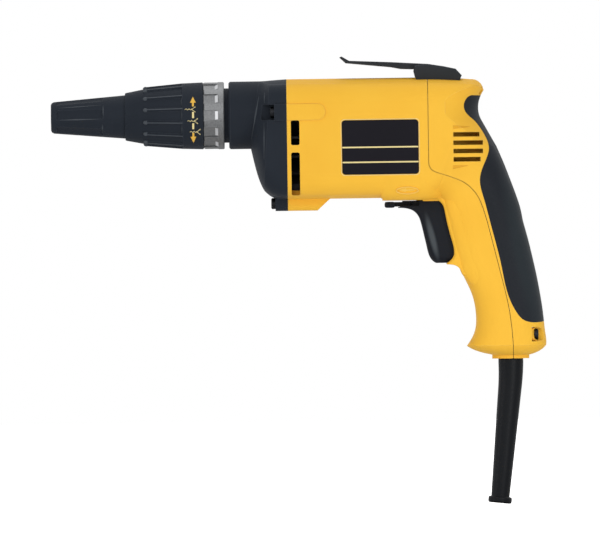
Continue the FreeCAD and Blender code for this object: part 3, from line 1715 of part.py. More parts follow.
def motor_block(name, x, rounds, bore):
    """A block with the stator's outline and a round bore about the motor's axis."""
    near, far = x
    body = padded(
        name, "YZ_Plane",
        [
            (-s.stator_half_width, -s.stator_half_height),
            (s.stator_half_width, -s.stator_half_height),
            (s.stator_half_width, s.stator_half_height),
            (-s.stator_half_width, s.stator_half_height),
        ],
        far - near, ((near + far) / 2, 0, motor_axis),
    )
    rounded(body, rounds, lambda e: runs_along(e, 0))
    return body, cylinder(name + "_bore", bore, far - near, (near, 0, motor_axis))


stator_x = (stator_front, stator_rear)
stator_blank, stator_bore = motor_block("stator_blank", stator_x, s.stator_round, s.stator_bore)
COIL_DEGREES = ((18, 52), (128, 162), (198, 232), (308, 342))
SLOT_MARGIN_DEGREES = 2
slot_radii = (s.stator_bore - s.coil_gap, s.coil_outer + s.coil_gap)
slot_shapes = [
    sector(stator_x, slot_radii, (a - SLOT_MARGIN_DEGREES, b + SLOT_MARGIN_DEGREES))
    for a, b in COIL_DEGREES
]
slot_room = solid("slot_room", slot_shapes[0].fuse(slot_shapes[1:]))
put(slot_room, (0, 0, motor_axis))
piece(cut("stator_core", stator_blank, [stator_bore, slot_room]), "stator_core")
coil_shapes = []
for first, second in ((0, 1), (2, 3)):
    whole_span = (COIL_DEGREES[first][0], COIL_DEGREES[second][1])
    radii = (s.coil_inner, s.coil_outer)
    bars = [
        sector((stator_front - s.coil_end, stator_front - s.coil_gap), radii, whole_span),
        sector((stator_rear + s.coil_gap, stator_rear + s.coil_end), radii, whole_span),
        sector((stator_front - s.coil_end, stator_rear + s.coil_end), radii, COIL_DEGREES[first]),
        sector((stator_front - s.coil_end, stator_rear + s.coil_end), radii, COIL_DEGREES[second]),
    ]
    coil_shapes.append(bars[0].fuse(bars[1:]).removeSplitter())
stator_coils = solid("stator_coils", Part.Compound(coil_shapes))
piece(put(stator_coils, (0, 0, motor_axis)), "stator_coils")
fan_front = joint + s.fan_start
fan_rear = fan_front + s.fan_length
baffle_front = stator_front - s.coil_end - s.running_gap - s.baffle_thick
baffle_x = (baffle_front, baffle_front + s.baffle_thick)
baffle_blank, baffle_bore = motor_block("baffle_blank", baffle_x, s.stator_round, s.baffle_bore)
piece(cut("fan_baffle", baffle_blank, [baffle_bore]), "fan_baffle")
bracket_front = joint + s.bracket_start
bracket_rear = bracket_front + s.bracket_thick
bracket_blank, bracket_bore = motor_block(
    "bracket_blank", (bracket_front, bracket_rear), s.stator_round, s.rear_bearing_radius + s.skin_gap
)
brush_place = joint + s.commutator_start + s.commutator_length / 2
brush_near = s.commutator_radius + s.brush_gap
holder_half = s.brush_width / 2 + s.holder_wall
holder_tall = s.brush_height / 2 + s.holder_wall
arm_front = brush_place + holder_half + s.skin_gap
bracket_arms = []
bracket_ways = [bracket_bore]
for way, word in both:
    middle = (brush_near + s.holder_length * 0.6) * way
    bracket_arms.append(
        box(
            f"bracket_arm_{word}",
            (
                bracket_front - arm_front + s.holder_wall, s.bracket_arm_half_width * 2,
                s.bracket_arm_half_height * 2,
            ),
            (arm_front, middle - s.bracket_arm_half_width, motor_axis - s.bracket_arm_half_height),
        )
    )
    for side, end in ((-1, "low"), (1, "high")):
        bracket_ways.append(
            cylinder(
                f"bracket_way_{word}_{end}", s.bracket_opening_radius, s.bracket_thick,
                (
                    bracket_front, s.bracket_opening_spread * way * 0.8,
                    motor_axis + s.bracket_opening_spread * side,
                ),
            )
        )
piece(
    cut("rear_bracket", fuse("bracket_form", [bracket_blank] + bracket_arms), bracket_ways),
    "rear_bracket",
)


def across_box(name, half_x, half_z, near, far, way):
    """A box along Y on one side of the motor's axis, between two distances from it."""
    low = near if way > 0 else -far
    return box(name, (half_x * 2, far - near, half_z * 2), (brush_place - half_x, low, motor_axis - half_z))


for way, word in both:
    holder_near = brush_near + s.holder_wall
    holder_far = holder_near + s.holder_length
    room_far = holder_far - s.holder_wall
    tube = across_box(f"holder_tube_{word}", holder_half, holder_tall, holder_near, holder_far, way)
    room = across_box(
        f"holder_room_{word}", s.brush_width / 2, s.brush_height / 2, holder_near, room_far, way
    )
    piece(cut(f"brush_holder_{word}", tube, [room]), f"brush_holder_{word}")
    carbon = across_box(
        f"carbon_brush_{word}", s.brush_width / 2 - s.skin_gap * 2, s.brush_height / 2 - s.skin_gap * 2,
        brush_near, brush_near + s.brush_length, way,
    )
    piece(carbon, f"carbon_brush_{word}")
    spring_near = brush_near + s.brush_length + s.skin_gap
    spring_long = room_far - s.skin_gap - spring_near
    piece(
        solid(
            f"brush_spring_{word}",
            set_at(
                coil(s.brush_spring_radius, s.spring_wire, spring_long, 4),
                (brush_place, spring_near * way, motor_axis), (0, way, 0),
            ),
        ),
        f"brush_spring_{word}",
    )


# Bearings of the motor's shaft
def bearing(name, x, bore, outer, race, at):
    """An outer race, an inner race and a set of balls between them."""
    near, far = x
    ball = (outer - bore - race * 2) / 2 - s.skin_gap
    middle = (outer + bore) / 2
    piece(
        ring(f"{name}_bearing_outer_race", (near, far), outer - race, outer, at),
        f"{name}_bearing_outer_race",
    )
    piece(
        ring(f"{name}_bearing_inner_race", (near, far), bore, bore + race, at),
        f"{name}_bearing_inner_race",
    )
    one = Part.makeSphere(float(ball), Vector((near + far) / 2, 0, middle))
    balls = solid(f"{name}_bearing_balls", Part.Compound(around(one, s.ball_count)))
    piece(put(balls, at), f"{name}_bearing_balls")


on_motor = (0, 0, motor_axis)
bearing("front", (plate_front, joint), s.shaft_radius + s.fit_gap, s.bearing_radius, s.race_thick, on_motor)
bearing(
    "rear", (bracket_front, bracket_front + s.rear_bearing_width), s.shaft_rear_radius + s.fit_gap,
    s.rear_bearing_radius,
    s.rear_race_thick, on_motor,
)

# Armature, turning on the motor's axis
TIP_SHARE = 0.95
ROOT_SHARE = 1.15
TOOTH_SHARES = ((-1, 0.33), (0, 0.215), (1, 0.11))


def toothed(teeth, x, phase):
    """A toothed bar along X whose tooth flanks go through the root, pitch and tip circles."""
    module = float(s.gear_module)
    pitch = module * float(teeth) / 2
    radii = {-1: pitch - module * ROOT_SHARE, 0: pitch, 1: pitch + module * TIP_SHARE}
    step = 2 * math.pi / float(teeth)
    points = []
    for i in range(int(float(teeth))):
        centre = phase + step * i
        spots = [(radii[level], centre - step * span) for level, span in TOOTH_SHARES]
        spots += [(radii[level], centre + step * span) for level, span in reversed(TOOTH_SHARES)]
        points += [Vector(float(x[0]), r * math.cos(a), r * math.sin(a)) for r, a in spots]
    face = Part.Face(Part.makePolygon(points + points[:1]))
    return face.extrude(Vector(float(x[1]) - float(x[0]), 0, 0))


pinion_rear = plate_front - s.running_gap * 2
pinion_front = pinion_rear - s.pinion_length
pinion = toothed(s.pinion_teeth, (pinion_front, plate_front), math.pi / 2)
shaft_turned = turned(
    "shaft_turned",
    [
        (plate_front - s.running_gap, 0),
        (plate_front - s.running_gap, s.shaft_radius),
        (bracket_front - s.running_gap, s.shaft_radius),
        (bracket_front - s.running_gap, s.shaft_rear_radius),
        (joint + s.shaft_end, s.shaft_rear_radius),
        (joint + s.shaft_end, 0),
    ],
    on_motor,
)
pinion_bar = solid("pinion_bar", pinion)
put(pinion_bar, on_motor)
piece(fuse("armature_shaft", [shaft_turned, pinion_bar]), "armature_shaft")
core_front = joint + s.core_start
core_rear = core_front + s.core_length
core_bore = s.shaft_radius + s.fit_gap
core_blank = ring("core_blank", (core_front, core_rear), core_bore, s.core_radius, on_motor)
slot_box = Part.makeBox(
    float(s.core_length), float(s.core_slot_width), float(s.core_slot_depth) * 2,
    Vector(core_front, -float(s.core_slot_width) / 2, float(s.core_radius) - float(s.core_slot_depth)),
)
core_slots = solid("core_slots", Part.Compound(around(slot_box, s.core_slot_count)))
put(core_slots, on_motor)
piece(cut("armature_core", core_blank, [core_slots]), "armature_core")
bar_box = Part.makeBox(
    float(s.core_length), float(s.core_slot_width) - 2 * float(s.skin_gap), float(s.core_slot_depth) * 0.8,
    Vector(
        core_front, -float(s.core_slot_width) / 2 + float(s.skin_gap),
        float(s.core_radius) - float(s.core_slot_depth) + float(s.skin_gap),
    ),
)
bars = around(bar_box, s.core_slot_count)
winding_front = ring(
    "winding_front", (core_front - s.winding_end, core_front - s.skin_gap), core_bore, s.winding_radius,
    on_motor
)
winding_rear = ring(
    "winding_rear", (core_rear + s.skin_gap, core_rear + s.winding_end), core_bore, s.winding_radius,
    on_motor,
)
long_bars = solid("winding_bars", Part.Compound(bars))
put(long_bars, on_motor)
piece(group("armature_windings", [winding_front, winding_rear, long_bars]), "armature_windings")
commutator_front = joint + s.commutator_start
commutator_rear = commutator_front + s.commutator_length
commutator_blank = ring(
    "commutator_blank", (commutator_front, commutator_rear), core_bore, s.commutator_radius, on_motor,
)
groove_box = Part.makeBox(
    float(s.commutator_length) * 0.85, float(s.commutator_slot), float(s.commutator_slot) * 3,
    Vector(
        commutator_front + s.commutator_length * 0.15, -float(s.commutator_slot) / 2,
        float(s.commutator_radius) - float(s.commutator_slot) * 1.5,
    ),
)
commutator_grooves = solid("commutator_grooves", Part.Compound(around(groove_box, s.commutator_bar_count)))
put(commutator_grooves, on_motor)
piece(cut("commutator", commutator_blank, [commutator_grooves]), "commutator")
fan_hub = ring("fan_hub", (fan_front, fan_rear), core_bore, s.fan_hub_radius, on_motor)
fan_disc = ring(
    "fan_disc", (fan_rear - s.fan_disc, fan_rear), s.fan_hub_radius * 0.9, s.fan_radius, on_motor,
)
blade = Part.makeBox(
    float(s.fan_length - s.fan_disc * 0.5), float(s.fan_blade), float(s.fan_radius - s.fan_blade_inner),
    Vector(fan_front, -float(s.fan_blade) / 2, float(s.fan_blade_inner)),
)
blades = solid("fan_blades", Part.Compound(around(blade, s.fan_blade_count)))
put(blades, on_motor)
piece(fuse("cooling_fan", [fan_hub, fan_disc, blades]), "cooling_fan")

# Drive gear, running free on the spindle until the clutch closes
gear_bore = s.spindle_radius + s.fit_gap
gear_phase = -math.pi / 2 + math.pi / COUNTS["gear_teeth"]
gear_rim = solid("gear_rim", toothed(s.gear_teeth, (gear_front, gear_rear), gear_phase))
hub_front = gear_front - s.gear_hub_length
gear_hub = cylinder("gear_hub", s.gear_hub_radius, s.gear_hub_length, (hub_front, 0, 0))
gear_back = cylinder(
    "gear_back", s.rear_bush_radius, plate_front - s.running_gap - gear_rear, (gear_rear, 0, 0),
)
DOG_DEGREES = 26
gear_dog = sector(
    (hub_front - s.dog_length, hub_front), (s.dog_inner, s.dog_outer),
    (90 - DOG_DEGREES / 2, 90 + DOG_DEGREES / 2),
)
gear_dogs = solid("gear_dogs", Part.Compound(around(gear_dog, s.dog_count, 60.0)))
gear_hole = cylinder("gear_hole", gear_bore, s.bell_length, (hub_front - s.dog_length, 0, 0))
piece(
    cut("drive_gear", fuse("gear_form", [gear_rim, gear_hub, gear_back, gear_dogs]), [gear_hole]),
    "drive_gear",
)

# Spindle with its bushes, clutch jaw, spring, holder and bit
piece(
    ring("spindle_front_bush", (bush_front, bush_rear), gear_bore, s.front_bush_radius - s.skin_gap),
    "spindle_front_bush"
)
piece(ring("spindle_rear_bush", (plate_front, joint), gear_bore, s.rear_bush_radius), "spindle_rear_bush")
piece(
    ring(
        "spindle_seal", (spigot_front, bush_front - s.skin_gap), s.spindle_radius + s.running_gap,
        s.seal_lip_radius - s.skin_gap,
    ),
    "spindle_seal",
)
jaw_rear = hub_front - s.dog_length * 2 - s.running_gap * 2
jaw_front = jaw_rear - s.jaw_thick


def hexagon(x, flats):
    """A six-sided bar along X."""
    corner = float(flats) / math.sqrt(3)
    turns = [math.pi * i / 3 for i in range(7)]
    spots = [Vector(float(x[0]), corner * math.cos(a), corner * math.sin(a)) for a in turns]
    return Part.Face(Part.makePolygon(spots)).extrude(Vector(float(x[1]) - float(x[0]), 0, 0))


spindle_bar = turned(
    "spindle_bar",
    [
        (s.spindle_front, 0),
        (s.spindle_front, s.spindle_radius - s.ring_edge),
        (s.spindle_front + s.ring_edge, s.spindle_radius),
        (joint - s.spindle_rear_setback, s.spindle_radius),
        (joint - s.spindle_rear_setback, 0),
    ],
)
socket = solid(
    "spindle_socket",
    hexagon((s.spindle_front, s.spindle_front + s.socket_depth), s.hex_flats + s.hex_gap * 2),
)
piece(cut("spindle", spindle_bar, [socket]), "spindle")
jaw_disc = ring("jaw_disc", (jaw_front, jaw_rear), gear_bore, s.dog_outer)
jaw_dog = sector(
    (jaw_rear, jaw_rear + s.dog_length), (s.dog_inner, s.dog_outer),
    (90 - DOG_DEGREES / 2, 90 + DOG_DEGREES / 2),
)
jaw_dogs = solid("jaw_dogs", Part.Compound(around(jaw_dog, s.dog_count)))
piece(fuse("clutch_jaw", [jaw_disc, jaw_dogs]), "clutch_jaw")
piece(
    solid(
        "clutch_spring",
        set_at(
            coil(s.clutch_spring_radius, s.clutch_wire, hub_front - jaw_rear - s.skin_gap * 2, 3),
            (jaw_rear + s.skin_gap, 0, 0), BACK
        ),
    ),
    "clutch_spring",
)
thrust_front = bush_rear + s.running_gap
piece(
    ring("spindle_thrust_washer", (thrust_front, thrust_front + s.thrust_thick), gear_bore, s.thrust_radius),
    "spindle_thrust_washer"
)
holder_bar = turned(
    "holder_bar",
    [
        (s.holder_front, 0),
        (s.holder_front, s.holder_radius - s.ring_edge * 2),
        (s.holder_front + s.ring_edge * 2, s.holder_radius),
        (s.holder_rear, s.holder_radius),
        (s.holder_rear, 0),
    ],
)
shank = solid("holder_shank", hexagon((s.holder_rear, s.holder_rear + s.holder_shank_length), s.hex_flats))
bit_rear = s.bit_tip + s.bit_length
magnet_front = bit_rear + s.skin_gap
bit_socket = solid("bit_socket", hexagon((s.holder_front, magnet_front), s.hex_flats + s.hex_gap * 2))
magnet_room = cylinder(
    "magnet_room", s.magnet_radius + s.skin_gap, s.magnet_length + s.skin_gap, (magnet_front, 0, 0),
)
piece(cut("bit_holder", fuse("holder_form", [holder_bar, shank]), [bit_socket, magnet_room]), "bit_holder")
piece(cylinder("holder_magnet", s.magnet_radius, s.magnet_length, (magnet_front, 0, 0)), "holder_magnet")
bit_shank = solid("bit_shank", hexagon((s.bit_tip + s.bit_waist, bit_rear), s.hex_flats))
bit_nose = turned(
    "bit_nose",
    [
        (s.bit_tip, 0),
        (s.bit_tip, s.bit_point_radius),
        (s.bit_tip + s.bit_point, s.bit_waist_radius),
        (s.bit_tip + s.bit_waist, s.bit_waist_radius),
        (s.bit_tip + s.bit_waist + s.bit_point / 2, s.bit_waist_radius),
        (s.bit_tip + s.bit_waist + s.bit_point / 2, 0),
    ],
)
wing_box = Part.makeBox(
    float(s.bit_point), float(s.bit_waist_radius) * 2, float(s.bit_waist_radius) * 2,
    Vector(s.bit_tip - s.running_gap, float(s.bit_point_radius) * 0.6, float(s.bit_point_radius) * 0.6),
)
bit_flutes = solid("bit_flutes", Part.Compound(around(wing_box, 4)))
piece(cut("bit", fuse("bit_form", [bit_shank, bit_nose]), [bit_flutes]), "bit")

# Nose: ring, collar and cone
hub_face = ring_front - s.hub_length
sleeve_front = hub_face - s.sleeve_length
snap_front = ring_front - s.snap_ring_setback
bore_front = spigot_front - s.running_gap
ring_blank = turned(
    "ring_blank",
    [
        (sleeve_front, s.sleeve_bore),
        (sleeve_front, s.sleeve_radius),
        (hub_face, s.sleeve_radius),
        (hub_face, s.hub_radius),
        (snap_front, s.hub_radius),
        (snap_front, s.hub_radius - s.snap_ring_depth),
        (snap_front + s.snap_ring_width, s.hub_radius - s.snap_ring_depth),
        (snap_front + s.snap_ring_width, s.hub_radius),
        (ring_front, s.hub_radius),
        (ring_front, s.ring_radius - s.ring_edge),
        (ring_front + s.ring_edge, s.ring_radius),
        (ring_rear - s.ring_edge, s.ring_radius),
        (ring_rear, s.ring_radius - s.ring_edge),
        (ring_rear, s.spigot_radius + s.running_gap),
        (bore_front, s.spigot_radius + s.running_gap),
        (bore_front, s.hub_bore),
        (hub_face + s.hub_wall, s.hub_bore),
        (hub_face + s.hub_wall, s.sleeve_bore),
    ],
)
pocket_box = Part.makeBox(
    float(s.ring_pocket_length) * 2, float(s.ring_pocket_width), float(s.ring_pocket_depth) * 4,
    Vector(
        ring_front - s.ring_pocket_length, -float(s.ring_pocket_width) / 2,
        float(s.ring_radius) - float(s.ring_pocket_depth),
    ),
)
corner_edges = [e for e in pocket_box.Edges if runs_along(e, 2) and e.BoundBox.XMin > float(ring_front)]
pocket_box = pocket_box.makeFillet(float(s.ring_pocket_width) * 0.2, corner_edges)
ring_pockets = solid("ring_pockets", Part.Compound(around(pocket_box, s.ring_pocket_count)))
detent_place = ring_front - s.detent_setback
detent_hole = cylinder(
    "detent_hole", s.detent_radius + s.screw_hole_gap, s.detent_hole_depth * 2,
    (detent_place, 0, s.hub_radius - s.detent_hole_depth), UP
)
piece(cut("nose_ring", ring_blank, [ring_pockets, detent_hole]), "nose_ring")
collar_bore = s.hub_radius + s.running_gap
detent_ball = doc.addObject("Part::Sphere", "detent_ball")
bind(detent_ball, Radius=s.detent_radius)
ball_height = collar_bore - s.skin_gap - s.detent_radius
piece(put(detent_ball, (detent_place, 0, ball_height)), "detent_ball")
spring_foot = s.hub_radius - s.detent_hole_depth + s.skin_gap
spring_tall = ball_height - s.detent_radius - s.skin_gap - spring_foot
piece(
    solid(
        "detent_spring",
        set_at(
            coil(s.detent_radius * 0.6, s.spring_wire * 0.6, spring_tall, 2),
            (detent_place, 0, spring_foot), UP,
        ),
    ),
    "detent_spring",
)
piece(
    ring(
        "collar_snap_ring", (snap_front + s.skin_gap, snap_front + s.snap_ring_width - s.skin_gap),
        s.hub_radius - s.snap_ring_depth + s.skin_gap, s.hub_radius + s.snap_ring_depth * 0.6,
    ),
    "collar_snap_ring",
)
o_ring = doc.addObject("Part::Torus", "spigot_o_ring")
bind(
    o_ring, Radius1=s.spigot_radius - s.o_ring_thickness + s.running_gap / 2,
    Radius2=s.o_ring_thickness - s.skin_gap,
)
piece(put(o_ring, (groove, 0, 0), along(BACK)), "spigot_o_ring")
step_place = collar_front + s.collar_step
collar_blank = turned(
    "collar_blank",
    [
        (collar_front, s.collar_mouth_bore),
        (collar_front, s.collar_front_radius),
        (collar_front + s.collar_edge, s.collar_front_radius + s.collar_edge * 0.6),
        (collar_front + s.collar_rib_start, s.collar_rib_base_radius),
        (step_place, s.collar_step_radius),
        (step_place + s.collar_edge, s.collar_band_radius),
        (ring_front - s.running_gap - s.ring_edge, s.collar_rear_radius),
        (ring_front - s.running_gap, s.collar_rear_radius - s.ring_edge),
        (ring_front - s.running_gap, collar_bore),
        (snap_front + s.snap_ring_width + s.running_gap, collar_bore),
        (snap_front + s.snap_ring_width + s.running_gap, collar_bore + s.snap_ring_depth),
        (snap_front - s.running_gap, collar_bore + s.snap_ring_depth),
        (snap_front - s.running_gap, collar_bore),
        (hub_face - s.running_gap, collar_bore),
        (hub_face - s.running_gap, s.collar_thread_bore),
        (collar_front + s.collar_mouth_depth, s.collar_thread_bore),
        (collar_front + s.collar_mouth_depth, s.collar_mouth_bore),
    ],
)
rib_start = Vector(collar_front + s.collar_rib_start, 0, s.collar_rib_base_radius)
rib_end = Vector(step_place + s.collar_edge, 0, s.collar_step_radius)
rib_line = rib_end - rib_start
rib = Part.makeCylinder(float(s.collar_rib_radius), rib_line.Length, rib_start, rib_line)
rib = rib.fuse(Part.makeSphere(float(s.collar_rib_radius), rib_start))
collar_ribs = solid("collar_ribs", Part.Compound(around(rib, s.collar_rib_count)))
piece(fuse("depth_collar", [collar_blank, collar_ribs]), "depth_collar")
cone_bore = s.sleeve_radius + s.running_gap
cone_blank = turned(
    "cone_blank",
    [
        (0, s.mouth_radius),
        (0, s.cone_tip_radius - s.cone_edge_round),
        (s.cone_edge_round * 0.3, s.cone_tip_radius - s.cone_edge_round * 0.45),
        (s.cone_edge_round, s.cone_tip_radius - s.cone_edge_round * 0.05),
        (s.cone_length, s.cone_rear_radius),
        (s.cone_length + s.cone_shoulder, s.cone_rear_radius),
        (s.cone_length + s.cone_shoulder, s.cone_tail_radius),
        (s.cone_tail_end, s.cone_tail_radius),
        (s.cone_tail_end, cone_bore),
        (s.cone_sleeve_start, cone_bore),
        (s.cone_sleeve_start - s.mouth_flare, s.cone_inner_radius),
        (s.mouth_length + s.mouth_flare, s.cone_inner_radius),
        (s.mouth_length, s.mouth_radius),
    ],
)
slope_start = Vector(s.cone_edge_round, 0, s.cone_tip_radius)
slope = Vector(s.cone_length, 0, s.cone_rear_radius) - slope_start
slope.normalize()
lift = float(s.flute_cutter_radius) - float(s.flute_depth)
flute_base = slope_start + slope * float(s.flute_front - s.cone_edge_round)
flute_base = flute_base + Vector(-slope.z, 0, slope.x) * lift
flute = Part.makeCylinder(float(s.flute_cutter_radius), float(s.flute_length), flute_base, slope)
flutes = solid("cone_flutes", Part.Compound(around(flute, s.flute_count, 82.0)))
piece(cut("nose_cone", cone_blank, [flutes]), "nose_cone")


doc.recompute()
os.makedirs("parts", exist_ok=True)
for thing in doc.Objects:
    if {"Invalid", "Error"} & set(thing.State):
        raise SystemExit(f"{thing.Name} is {thing.State}")
for thing in PIECES:
    shape = thing.Shape
    if shape.isNull() or not shape.isValid() or shape.Volume <= 0:
        raise SystemExit(f"{thing.Label} has no valid solid")
    shape.exportStep(f"parts/{thing.Label}.step")
    print(thing.Label, len(shape.Solids), round(shape.Volume / 1000, 2))
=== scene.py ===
# %% [markdown]
# # Dressing a drywall screwdriver
# The CAD model gives every piece its size, its place and its motion. This lesson gives the pieces
# their finishes, and adds marks and small forms that are too thin or too soft for the CAD.
# Everything stands in the CAD's frame: the origin is the mouth of the nose, X runs back along the
# spindle, Z is up, and the camera looks along Y. Blender counts in metres. Most sizes below are
# written in millimetres and multiplied by MM.

# %% Load the CAD frame
import json
import math

import bmesh
import bpy
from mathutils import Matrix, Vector


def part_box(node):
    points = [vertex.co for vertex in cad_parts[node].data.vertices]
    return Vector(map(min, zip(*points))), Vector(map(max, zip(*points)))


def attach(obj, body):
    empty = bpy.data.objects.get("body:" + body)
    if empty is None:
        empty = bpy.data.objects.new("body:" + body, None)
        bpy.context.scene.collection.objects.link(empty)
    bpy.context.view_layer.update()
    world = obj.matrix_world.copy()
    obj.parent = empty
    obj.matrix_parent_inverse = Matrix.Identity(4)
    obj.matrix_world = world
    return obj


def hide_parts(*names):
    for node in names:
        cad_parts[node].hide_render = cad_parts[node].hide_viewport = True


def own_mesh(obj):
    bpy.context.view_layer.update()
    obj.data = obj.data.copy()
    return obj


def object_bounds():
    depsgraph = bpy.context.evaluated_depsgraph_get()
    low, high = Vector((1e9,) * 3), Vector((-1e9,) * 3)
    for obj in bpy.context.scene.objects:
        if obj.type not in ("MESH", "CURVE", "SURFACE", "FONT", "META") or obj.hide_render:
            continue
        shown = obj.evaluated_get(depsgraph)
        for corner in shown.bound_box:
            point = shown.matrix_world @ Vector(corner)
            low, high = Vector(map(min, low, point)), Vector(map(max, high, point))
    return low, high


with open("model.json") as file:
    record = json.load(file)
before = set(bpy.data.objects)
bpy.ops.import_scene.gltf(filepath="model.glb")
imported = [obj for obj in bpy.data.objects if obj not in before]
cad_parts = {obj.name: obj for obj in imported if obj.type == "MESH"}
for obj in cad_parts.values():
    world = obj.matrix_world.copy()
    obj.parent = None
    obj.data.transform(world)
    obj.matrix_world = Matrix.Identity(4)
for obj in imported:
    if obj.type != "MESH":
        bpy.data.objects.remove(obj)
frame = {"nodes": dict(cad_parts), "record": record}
cad_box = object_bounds()
MM = 0.001

# %% [markdown]
# ## The camera
# The photograph was taken square to the side of the tool from far away, so its edges hardly
# converge. An orthographic camera would come close. A long lens ten metres away was chosen, because
# it keeps the slight convergence. One pixel is 0.61 mm of the tool, and the tool is tipped by less
# than a degree.

# %% Set the camera
PIXEL = 0.61 * MM
PHOTO_WIDTH = 600
PHOTO_CENTRE = (300, 280)
MOUTH_PIXEL = (51, 118)
ROLL = math.radians(0.8)
DISTANCE = 10.0
SENSOR = 36

def place_of(pixel):
    """The X and Z of a pixel of the photograph, on the tool's middle plane."""
    across = (pixel[0] - MOUTH_PIXEL[0]) * PIXEL
    up = (MOUTH_PIXEL[1] - pixel[1]) * PIXEL
    return across * math.cos(ROLL) + up * math.sin(ROLL), up * math.cos(ROLL) - across * math.sin(ROLL)

centre_x, centre_z = place_of(PHOTO_CENTRE)
bpy.ops.object.select_all(action="DESELECT")
bpy.ops.object.camera_add(location=(centre_x, -DISTANCE, centre_z), rotation=(math.pi / 2, ROLL, 0))
camera = bpy.context.object
camera.data.sensor_width = SENSOR
camera.data.lens = SENSOR * DISTANCE / (PHOTO_WIDTH * PIXEL)
bpy.context.scene.camera = camera
print("camera lens", round(camera.data.lens), "mm")

# %% [markdown]
# ## Nodes and colours
# Three helpers serve every finish below. One turns the colour that a painter would write, an sRGB
# hex value, into the linear numbers that the shader works with. One adds a node with its settings,
# its values and its links. The last starts a material with what all of them share. Nodes could be
# written out one by one, but then the same lines would repeat in every material.

# %% Helpers for finishes
def colour(code):
    """Linear RGBA of an sRGB hex value."""
    parts = [int(code[i:i + 2], 16) / 255 for i in (1, 3, 5)]
    return [p / 12.92 if p <= 0.04045 else ((p + 0.055) / 1.055) ** 2.4 for p in parts] + [1.0]

def add(tree, kind, values=(), links=(), **settings):
    """Adds a node; values and links are pairs of a socket with its value or with the output it takes."""
    made = tree.nodes.new(kind)
    for name, value in settings.items():
        setattr(made, name, value)
    for socket, value in values:
        made.inputs[socket].default_value = value
    for socket, source in links:
        tree.links.new(source, made.inputs[socket])
    return made

def new_finish(name):
    """An empty material with its output node and its object coordinates."""
    made = bpy.data.materials.new(name)
    made.use_nodes = True
    made.node_tree.nodes.clear()
    output = add(made.node_tree, "ShaderNodeOutputMaterial")
    place = add(made.node_tree, "ShaderNodeTexCoord").outputs["Object"]
    return made, made.node_tree, output, place

# %% [markdown]
# ## The stage
# A pale floor under the boot, a large soft lamp in front, one above, a smaller one to the left, a
# weak one near the handle's front, and a white surround. Area lamps were chosen rather than points
# or a sun, because the size of the lamp sets how soft its light is. The camera and shiny surfaces
# see the surround as plain white, and it lights the tool less than that, so the colours come out
# about as they are written. For the camera, the floor glows in the same white.

# %% Floor, lamps and surround
FLOOR_SIZE, FLOOR_GAP = 12.0, 0.2
bpy.ops.mesh.primitive_plane_add(size=FLOOR_SIZE, location=(centre_x, 0, cad_box[0].z - FLOOR_GAP * MM))
floor = bpy.context.object
floor.name = "floor"
floor_finish, tree, output, _ = new_finish("pale_floor_paper")
seen = add(tree, "ShaderNodeLightPath")
paper = add(tree, "ShaderNodeBsdfDiffuse", [("Color", colour("#F4F4F4"))])
glow = add(tree, "ShaderNodeEmission", [("Color", colour("#FFFFFF"))],
           [("Strength", seen.outputs["Is Camera Ray"])])
both = add(tree, "ShaderNodeAddShader", [], [(0, paper.outputs[0]), (1, glow.outputs[0])])
tree.links.new(both.outputs[0], output.inputs["Surface"])
floor.data.materials.append(floor_finish)

# Each lamp has its place and size in metres and its power in watts.
LAMPS = {
    "key": ((-0.3, -1.8, 0.6), 1.3, 8.2),
    "fill": ((0.48, -0.44, -0.13), 0.18, 0.6),
    "left": ((-1.5, -0.8, 0.1), 0.6, 3.5),
    "top": ((0.3, 0.2, 1.5), 1.2, 7.0),
}
tool_middle = (cad_box[0] + cad_box[1]) / 2
for name, (spot, size, power) in LAMPS.items():
    aim = (tool_middle - Vector(spot)).to_track_quat("-Z", "Y").to_euler()
    bpy.ops.object.light_add(type="AREA", location=spot, rotation=aim)
    lamp = bpy.context.object
    lamp.name = "lamp_" + name
    lamp.data.size = size
    lamp.data.energy = power

SURROUND = 0.5
world = bpy.data.worlds.new("white_surround")
bpy.context.scene.world = world
world.use_nodes = True
tree = world.node_tree
tree.nodes.clear()
seen = add(tree, "ShaderNodeLightPath")
shiny = add(tree, "ShaderNodeMath", [],
            [(0, seen.outputs["Is Camera Ray"]), (1, seen.outputs["Is Glossy Ray"])], operation="MAXIMUM")
white = add(tree, "ShaderNodeMath", [], [(0, shiny.outputs[0]), (1, seen.outputs["Is Transmission Ray"])],
            operation="MAXIMUM")
level = add(tree, "ShaderNodeMapRange", [("To Min", SURROUND), ("To Max", 1.0)],
            [("Value", white.outputs[0])])
back = add(tree, "ShaderNodeBackground", [("Color", colour("#FFFFFF"))], [("Strength", level.outputs[0])])
add(tree, "ShaderNodeOutputWorld", [], [("Surface", back.outputs[0])])
bpy.context.scene.view_settings.view_transform = "Standard"
print("stage set with", len(LAMPS), "lamps")

# %% [markdown]
# ## Moulded plastics
# The shells are nylon with glass fibre, moulded in a spark-eroded mould. That leaves a fine even
# grain, which breaks up the shine, and a slight drift of colour from place to place. The black
# pieces are the same nylon, and the controls are smoother acetal. Paint, rubber, film, carbon, felt
# and ink come from the same function with other values. A picture of a surface could be wrapped
# around each piece, but noise has no seams and needs no unwrapping. The real grain is about 0.3 mm,
# drawn coarser here so that it shows. A moulded edge is never a knife edge: the Bevel node rounds
# it for the light, and where its normal leaves the face's own, the edge is painted a little paler:
# partly wear from handling, partly a painted highlight.

# %% Finishes of moulded plastic
# In mm: the round of an edge, and how far apart paler and darker places lie.
EDGE_ROUND, DRIFT = 0.45, 28
# The agreement of the two normals where an edge starts to pale and where it is palest, and how much.
WORN_START, WORN_FULL, WORN_SHARE = 0.985, 0.88, 0.7
